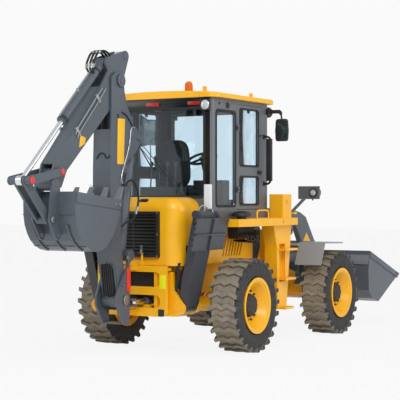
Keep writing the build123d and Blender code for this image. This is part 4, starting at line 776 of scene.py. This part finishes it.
# black line along the edge of a plate on the boom's rear face: painted shade under the edge
b = Build()
b.tube([(-70, -1747, 2402), (-52, -1747, 2432), (-25, -1747, 2464), (12, -1747, 2470),
        (42, -1747, 2450), (58, -1747, 2422), (80, -1747, 2408), (104, -1747, 2424),
        (118, -1747, 2448)], 6, 8, 5)
b.done("boom_plate_edge_shade", "boom", "gloss_black")

# swing lock lever and fittings on the post
for hand, sign in HANDS:
    b = Build(sign)
    lever = [(165.5, LOCK_Y + LOCK_RADIUS * math.cos(math.radians(a)),
              middle + LOCK_RADIUS * math.sin(math.radians(a)))
             for middle, start in ((LOCK_TOP, 0), (LOCK_LOW, 180))
             for a in (start + 22.5 * k for k in range(9))]
    b.prism(lever, (12, 0, 0), 2)
    b.lathe((177.5, LOCK_Y, LOCK_LOW), OUT, [(0, 24), (10, 24), (13, 18), (13, 0.5)], 24)
    b.done(f"swing_lock_{hand}", "swing_post", "red")
    b.lathe((172, -1480, 720), OUT, [(0.4, 60), (9, 60), (12, 54), (12, 30), (20, 28),
            (20, 0.5)], 32)
    b.lathe((POST_FACE, -1445, 1225), OUT, [(0.4, 26), (16, 26), (20, 20), (20, 0.5)], 20)
    for station, z in ((-1500, 940), (-1545, 900)):
        b.lathe((POST_FACE, station, z), OUT, [(0.4, 13), (14, 13), (16, 9), (26, 8),
                (26, 0.5)], 6)
    b.done(f"post_fittings_{hand}", "swing_post", "steel")

# ---- dipper and bucket linkage --------------------------------------------------------
DIPPER_FACE, GUIDE_FACE, LINK_FACE = 95.4, 150.4, 131
for hand, sign in HANDS:
    b = Build(sign)
    x = 107
    b.tube([(x, -1812, 3215), (x, -1850, 3180), (x, -1940, 3082), (x, -2140, 2880),
            (x, -2340, 2680), (x, -2368, 2620)], 9, 10, 5)
    b.tube([(x, -1888, 3215), (x, -1990, 3118), (x, -2190, 2914), (x, -2385, 2716),
            (x, -2398, 2655)], 9, 10, 5)
    x = DIPPER_FACE - 0.1
    for station, z in ((-1950, 3092), (-2350, 2692)):
        b.prism([(x, station - 72, z + 26), (x, station - 44, z + 54), (x, station + 36, z - 26),
                (x, station + 8, z - 54)], (24, 0, 0), 3)
    b.done(f"dipper_pipes_{hand}", "dipper", "pipe")
    x = DIPPER_FACE
    b.prism([(x, -2306, 2652), (x, -2204, 2628), (x, -2214, 2562), (x, -2330, 2512)], (3, 0, 0), 1)
    b.done(f"dipper_plate_{hand}", "dipper", "sign")
    for (station, z), radius in (((-2800, 2092), 58), (CURL_PIN, 50), (DIPPER_EYE, 50)):
        b.lathe((DIPPER_FACE, station, z), OUT, [(0, radius), (5, radius), (7, radius - 4),
                (7, radius * 0.5), (9, radius * 0.45), (9, 0.5)], 32)
    b.done(f"dipper_pin_heads_{hand}", "dipper", "grey")
    b.lathe((GUIDE_FACE, -3264, 2126), OUT, [(0, 40), (8, 40), (11, 34), (11, 20), (18, 18),
            (18, 0.5)], 24)
    b.lathe((GUIDE_FACE, -2712, 2230), OUT, [(0, 34), (8, 34), (11, 28), (11, 0.5)], 24)
    b.done(f"guide_pin_heads_{hand}", "guide_links", "red")
    b.lathe((LINK_FACE, -2870, 1700), OUT, [(0, 38), (10, 38), (13, 32), (13, 0.5)], 24)
    b.done(f"link_pin_heads_{hand}", "bucket_links", "steel")
b = Build()
for x in (-48, 0, 48):
    b.tube([(x, -1600, 3575), (x, -1650, 3640), (x, -1760, 3672), (x, -1880, 3640),
            (x, -1950, 3560), (x, -1985, 3470), (x * 0.6, -1950, 3392)], 13, 12, 6)
b.done("curl_cylinder_hoses", "curl_barrel", "hose")
for x in (-48, 0, 48):
    for station, z, way in ((-1840, 3654, (0, -0.93, -0.37)), (-1978, 3500, (0, -0.25, -0.97))):
        b.lathe((x, station, z), way, [(0, 15), (4, 19), (24, 19), (28, 15),
                (46, 16), (50, 14)], 6)
b.done("curl_hose_fittings", "curl_barrel", "pipe")


def along(base, eye, s, lift):
    """Point at a distance along a cylinder and a height over its axis."""
    u = Vector((eye[0] - base[0], eye[1] - base[1])).normalized()
    n = Vector((u.y, -u.x))
    if n.y < 0:
        n = -n
    return base[0] + u.x * s + n.x * lift, base[1] + u.y * s + n.y * lift


# gland and end bands of each barrel, with a pipe along the curl and lift barrels
for body, base, eye, length, radius, bars in (
        ("curl_barrel", CURL_PIN, (-3264, 2126), 1075, 50, (0,)),
        ("dipper_barrel", DIPPER_PIN, DIPPER_EYE, 700, 55, (0,)),
        ("lift_barrels", (1720, 600), (2388, 1463), 806, 46, (420, -420)),
        ("tilt_barrels", ARM_PIN, (3080, 1615), 700, 45, (225, -225))):
    b = Build()
    way = (0, eye[0] - base[0], eye[1] - base[1])
    grow = 0 if body == "lift_barrels" else 4
    gland, band = radius + 8.6 + grow, radius + 3 + grow
    for x in bars:
        b.lathe((x, *base), way, [(length - 52, radius + 8.1), (length - 50, gland),
                (length - 6, gland), (length - 2, radius + 8.1)], 36)
        b.lathe((x, *base), way, [(150, radius - 1), (152, band), (172, band),
                (174, radius - 1)], 36)
    b.done(f"{body}_gland", body, "black")
    if body in ("curl_barrel", "lift_barrels"):
        b = Build()
        far = radius + 26
        route = [(120, radius - 4), (128, far - 4), (170, far), (length - 90, far),
                (length - 40, far - 3), (length - 30, radius)]
        over = along(base, eye, 0, 1)
        for x in bars:
            b.tube([(x, *along(base, eye, *spot)) for spot in route], 9, 10, 4)
            b.lathe((x, *along(base, eye, length * 0.55, radius - 6)),
                    (0, over[0] - base[0], over[1] - base[1]), [(0, 14), (42, 14), (44, 10)], 12)
        b.done(f"{body}_pipe", body, "pipe")

# ---- backhoe bucket -----------------------------------------------------------------
HOE_SIDE, TOOTH_PITCH, TOOTH_HALF, STRIP_HALF = 360.3, 210, 36, 14

for hand, sign in HANDS:
    b = Build(sign)
    x = HOE_SIDE
    b.prism([(x, -2744, 2008), (x, -1857, 1914), (x, -1885, 1800), (x, -2755, 1890)],
            (10, 0, 0), 2.5)
    b.done(f"hoe_side_strip_{hand}", "hoe_bucket", "grey")
    for station, z in ((-1905, 1858), (-1990, 1868)):
        b.lathe((370, station, z), OUT, [(0, 17), (8, 17), (10, 12), (10, 0.5)], 6)
    b.done(f"hoe_strip_bolts_{hand}", "hoe_bucket", "steel")
b = Build()
for k in range(4):
    x = (k - 1.5) * TOOTH_PITCH - TOOTH_HALF
    b.prism([(x, -1896, 1905), (x, -1856, 1895), (x, -1794, 2070), (x, -1882, 1950)],
            (2 * TOOTH_HALF, 0, 0), 4)
b.done("hoe_tooth_caps", "hoe_bucket", "worn")
for station, z in ((-2768, 1752), (-2560, 1394)):
    b.tube([(-362, station, z), (362, station, z)], 5, 8, 0)
strip = [(-2762, 1640), (-2706, 1536), (-2640, 1456), (-2560, 1391), (-2460, 1346),
         (-2464, 1336), (-2566, 1381), (-2648, 1447), (-2715, 1530), (-2773, 1640)]
for x in (-240, 0, 240):
    b.prism([(x - STRIP_HALF, *spot) for spot in strip], (2 * STRIP_HALF, 0, 0))
b.done("hoe_wear_strips", "hoe_bucket", "grey")

# ---- stabilizers ---------------------------------------------------------------------
REAR_PLATE = -1100.3                 # just behind the frame's rear plate
for hand, sign in HANDS:
    body = f"{hand}_leg"
    b = Build(sign)
    b.block(800, 900, -712, -688, 1808, 2106, 4)
    b.done(f"{hand}_leg_guard", body, "white")
    b.block(830, 852, -706, -692, 1752, 1812, 3)
    for x, station in ((815, -860), (858, -800), (876, -640)):
        b.lathe((x, station, 1752), UP, [(0, 17), (26, 17), (30, 12), (52, 11), (56, 7)], 6)
    b.tube([(815, -860, 1800), (822, -800, 1846), (846, -730, 1830), (850, -700, 1800)], 8, 8, 5)
    b.done(f"{hand}_leg_fittings", body, "pipe")
    b.tube([(592, -958, 1150), (566, -966, 1085), (586, -962, 1005), (566, -958, 930),
            (545, -952, 860), (540, -935, 800)], 13, 10, 6)
    b.tube([(610, -955, 1150), (590, -958, 1080), (604, -955, 1000), (580, -950, 925),
            (560, -945, 850), (552, -930, 790)], 9, 10, 6)
    b.done(f"{hand}_leg_hoses", "rear_chassis", "hose")
    b.block(404, 494, REAR_PLATE - 2.5, REAR_PLATE, 842, 1008, 0.8)
    b.done(f"{hand}_reflector_sheet", "rear_chassis", "lime")
    # dark sheet on the rear plate: painted shade in the tow notch
    b.block(384, 470, REAR_PLATE - 2, REAR_PLATE, 508, 592, 0.6)
    b.done(f"{hand}_tow_notch_shade", "rear_chassis", "lining_and_shade")

# ---- rear frame -----------------------------------------------------------------------
# sill under the grille, and the bracket with its stored pin
b = Build()
b.block(-368, 368, -1033.5, -1018, 1117, 1213, 4)
b.block(-368, 368, -1060, -1033, 1117, 1128, 3)
b.done("grille_sill", "rear_chassis", "yellow")
b.block(112, 168, -1098, -1064, 1115.3, 1170, 5)
b.lathe((140, -1081, 1168), UP, [(0, 15), (95, 15), (96, 12)], 20)
b.done("pin_bracket", "rear_chassis", "yellow")
b.lathe((140, -1098, 1262), UP, [(0, 12), (2, 44), (8, 44), (12, 18), (40, 15), (52, 14)], 28)
turns = [math.radians(30 * k) for k in range(13)]
b.tube([(140 + 13 * math.cos(a), -1098, 1338 + 24 * math.sin(a)) for a in turns], 5, 8, 2)
b.done("stored_pin", "rear_chassis", "steel")

# ---- loader end ----------------------------------------------------------------------
ARM_FACE, LOADER_SIDE = 460.4, 1134.3        # side faces of the arms and of the bucket
LAMP_X, LAMP_Z = 1040, 2015

for hand, sign in HANDS:
    b = Build(sign)
    x = ARM_FACE
    b.prism([(x, 2792, 1308), (x, 3040, 1300), (x, 2905, 1432)], (2.5, 0, 0), 0.8)
    b.done(f"loader_arm_sign_{hand}", "loader_arms", "sign")
    for station, z, radius in ((*ARM_PIN, 62), (3570, 520, 56), (3150, 1200, 40)):
        b.lathe((ARM_FACE, station, z), OUT, [(0, radius), (9, radius), (12, radius - 4),
                (12, radius * 0.5), (20, radius * 0.45), (20, 0.5)], 32)
    b.done(f"loader_pin_heads_{hand}", "loader_arms", "grey")
    x = LOADER_SIDE
    b.prism([(x, 3716, 1140), (x, 4886, 748), (x, 4800, 690), (x, 3706, 1052)], (12, 0, 0), 3)
    b.done(f"loader_side_strip_{hand}", "loader_bucket", "grey")
    b.prism([(x, 4884, 747), (x, 4790, 679), (x, 4740, 724), (x, 4800, 775)], (20, 0, 0), 3)
    for station, z in ((4830, 735), (4790, 748)):
        b.lathe((x + 20, station, z), OUT, [(0, 11), (7, 11), (9, 7)], 6)
    b.done(f"loader_corner_{hand}", "loader_bucket", "worn")
    lamp = (LAMP_X, 1924.6, LAMP_Z)
    b.lathe(lamp, (0, -1, 0), [(0, 56), (26, 57), (34, 53), (35, 46), (24, 44)], 32)
    b.lathe((1020, 1935, 1925), (0, 0, -1), [(0, 10), (18, 10), (20, 6)], 12)
    b.done(f"headlamp_rim_{hand}", "front_chassis", "gloss_black")
    # pale bowl behind the lens: painted reflection of the chrome reflector
    b.lathe(lamp, (0, -1, 0), [(22, 44), (26, 43), (31, 26), (32, 0.5)], 32)
    b.done(f"headlamp_back_{hand}", "front_chassis", "lamp_lens_glint")
    # pale lenses: painted glint of the glass and the reflector behind
    for x, key in ((885, "inner"), (LAMP_X, "outer")):
        b = Build(sign)
        b.lathe((x, 2000, LAMP_Z), (0, 1, 0), [(0.4, 72), (4, 70), (10, 52), (13, 26),
                (14, 0.5)], 32)
        b.done(f"headlamp_lens_{key}_{hand}", "front_chassis", "lamp_lens_glint")
    b = Build(sign)
    b.lathe((1060, 1035, 1887), OUT, [(0.3, 30), (4, 30), (8, 24), (10, 10), (10, 0.5)], 6)
    b.lathe((1080, 900, 1628), OUT, [(0.3, 24), (4, 24), (7, 18), (8, 0.5)], 24)
    b.done(f"side_reflectors_{hand}", "rear_chassis", "orange")
b = Build()
b.prism([(-1126, 3708, 1080), (-1126, 3672, 940), (-1126, 3660, 940), (-1126, 3696, 1084)],
        (2252, 0, 0), 2)
b.prism([(-1126, 4883, 748), (-1126, 4700, 644), (-1126, 4706, 634), (-1126, 4889, 740)],
        (2252, 0, 0), 2)
b.done("loader_edge_strips", "loader_bucket", "worn")

# ---- stage, light and camera ---------------------------------------------------
FLOOR_HALF = 60              # metres
PALE, BACK = 0.86, 0.955     # tone of the lit floor and of the white behind it

floor_mesh = bpy.data.meshes.new("floor")
corners = [(x * FLOOR_HALF, y * FLOOR_HALF, 0) for x, y in ((-1, -1), (1, -1), (1, 1), (-1, 1))]
floor_mesh.from_pydata(corners, [], [(0, 1, 2, 3)])
floor = bpy.data.objects.new("floor", floor_mesh)
bpy.context.scene.collection.objects.link(floor)
floor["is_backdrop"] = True
f = Nodes("floor_pale")
f.tree.nodes.remove(f.shader)
out = f.tree.nodes["Material Output"]
diffuse = f.add("ShaderNodeBsdfDiffuse")
diffuse.inputs[0].default_value = (PALE, PALE, PALE, 1)
glow = f.add("ShaderNodeEmission")
glow.inputs[0].default_value = (BACK, BACK, BACK, 1)
path = f.add("ShaderNodeLightPath")
blend = f.add("ShaderNodeMixShader")
seen = f.math("MAXIMUM", f.math("MAXIMUM", path.outputs["Is Camera Ray"],
        path.outputs["Is Glossy Ray"]), path.outputs["Is Transmission Ray"])
f.link(f.math("MULTIPLY", seen, 0.93), blend.inputs[0])
f.link(diffuse.outputs[0], blend.inputs[1])
f.link(glow.outputs[0], blend.inputs[2])
f.link(blend.outputs[0], out.inputs[0])
floor_mesh.materials.append(f.mat)

world = bpy.data.worlds.new("studio")
bpy.context.scene.world = world
world.use_nodes = True
wt = world.node_tree
sky = wt.nodes["Background"]
sky.inputs[0].default_value = (0.93, 0.96, 1.0, 1)
sky.inputs[1].default_value = 0.62
show = wt.nodes.new("ShaderNodeBackground")
show.inputs[0].default_value = (BACK, BACK, BACK, 1)
show.inputs[1].default_value = 1.0
wpath = wt.nodes.new("ShaderNodeLightPath")
high = wt.nodes.new("ShaderNodeMath")
high.operation = "MAXIMUM"
wt.links.new(wpath.outputs["Is Camera Ray"], high.inputs[0])
wt.links.new(wpath.outputs["Is Transmission Ray"], high.inputs[1])
wmix = wt.nodes.new("ShaderNodeMixShader")
wt.links.new(high.outputs[0], wmix.inputs[0])
wt.links.new(sky.outputs[0], wmix.inputs[1])
wt.links.new(show.outputs[0], wmix.inputs[2])
wt.links.new(wmix.outputs[0], wt.nodes["World Output"].inputs[0])

# area lights: place and aim in metres, size in metres, power in watts
for name, place, aim, size, power in (
        ("key", (9.0, -13.0, 11.0), (0, 0, 1.2), 7.0, 1420),
        ("fill", (14.0, 3.0, 6.0), (0, 0, 1.2), 7.0, 430),
        ("left", (-9.0, -9.0, 6.0), (0, -1.5, 1.5), 6.0, 260)):
    lamp = bpy.data.lights.new(name, "AREA")
    lamp.size, lamp.energy = size, power
    holder = bpy.data.objects.new(name, lamp)
    holder.location = place
    holder.rotation_euler = (Vector(aim) - Vector(place)).to_track_quat("-Z", "Y").to_euler()
    bpy.context.scene.collection.objects.link(holder)

camera = bpy.data.cameras.new("camera")
camera.lens, camera.sensor_width = 113.45, 36.0      # millimetres
camera.clip_end = 200                                # metres
eye = bpy.data.objects.new("camera", camera)
eye.location = (8.497, -14.023 + AXLE_Y, 1.928)
eye.rotation_euler = (math.radians(89.95), 0, math.radians(30.217))
bpy.context.scene.collection.objects.link(eye)
bpy.context.scene.camera = eye
bpy.context.scene.view_settings.view_transform = "Standard"

# ---- end ---------------------------------------------------------------------
low, high_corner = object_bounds()
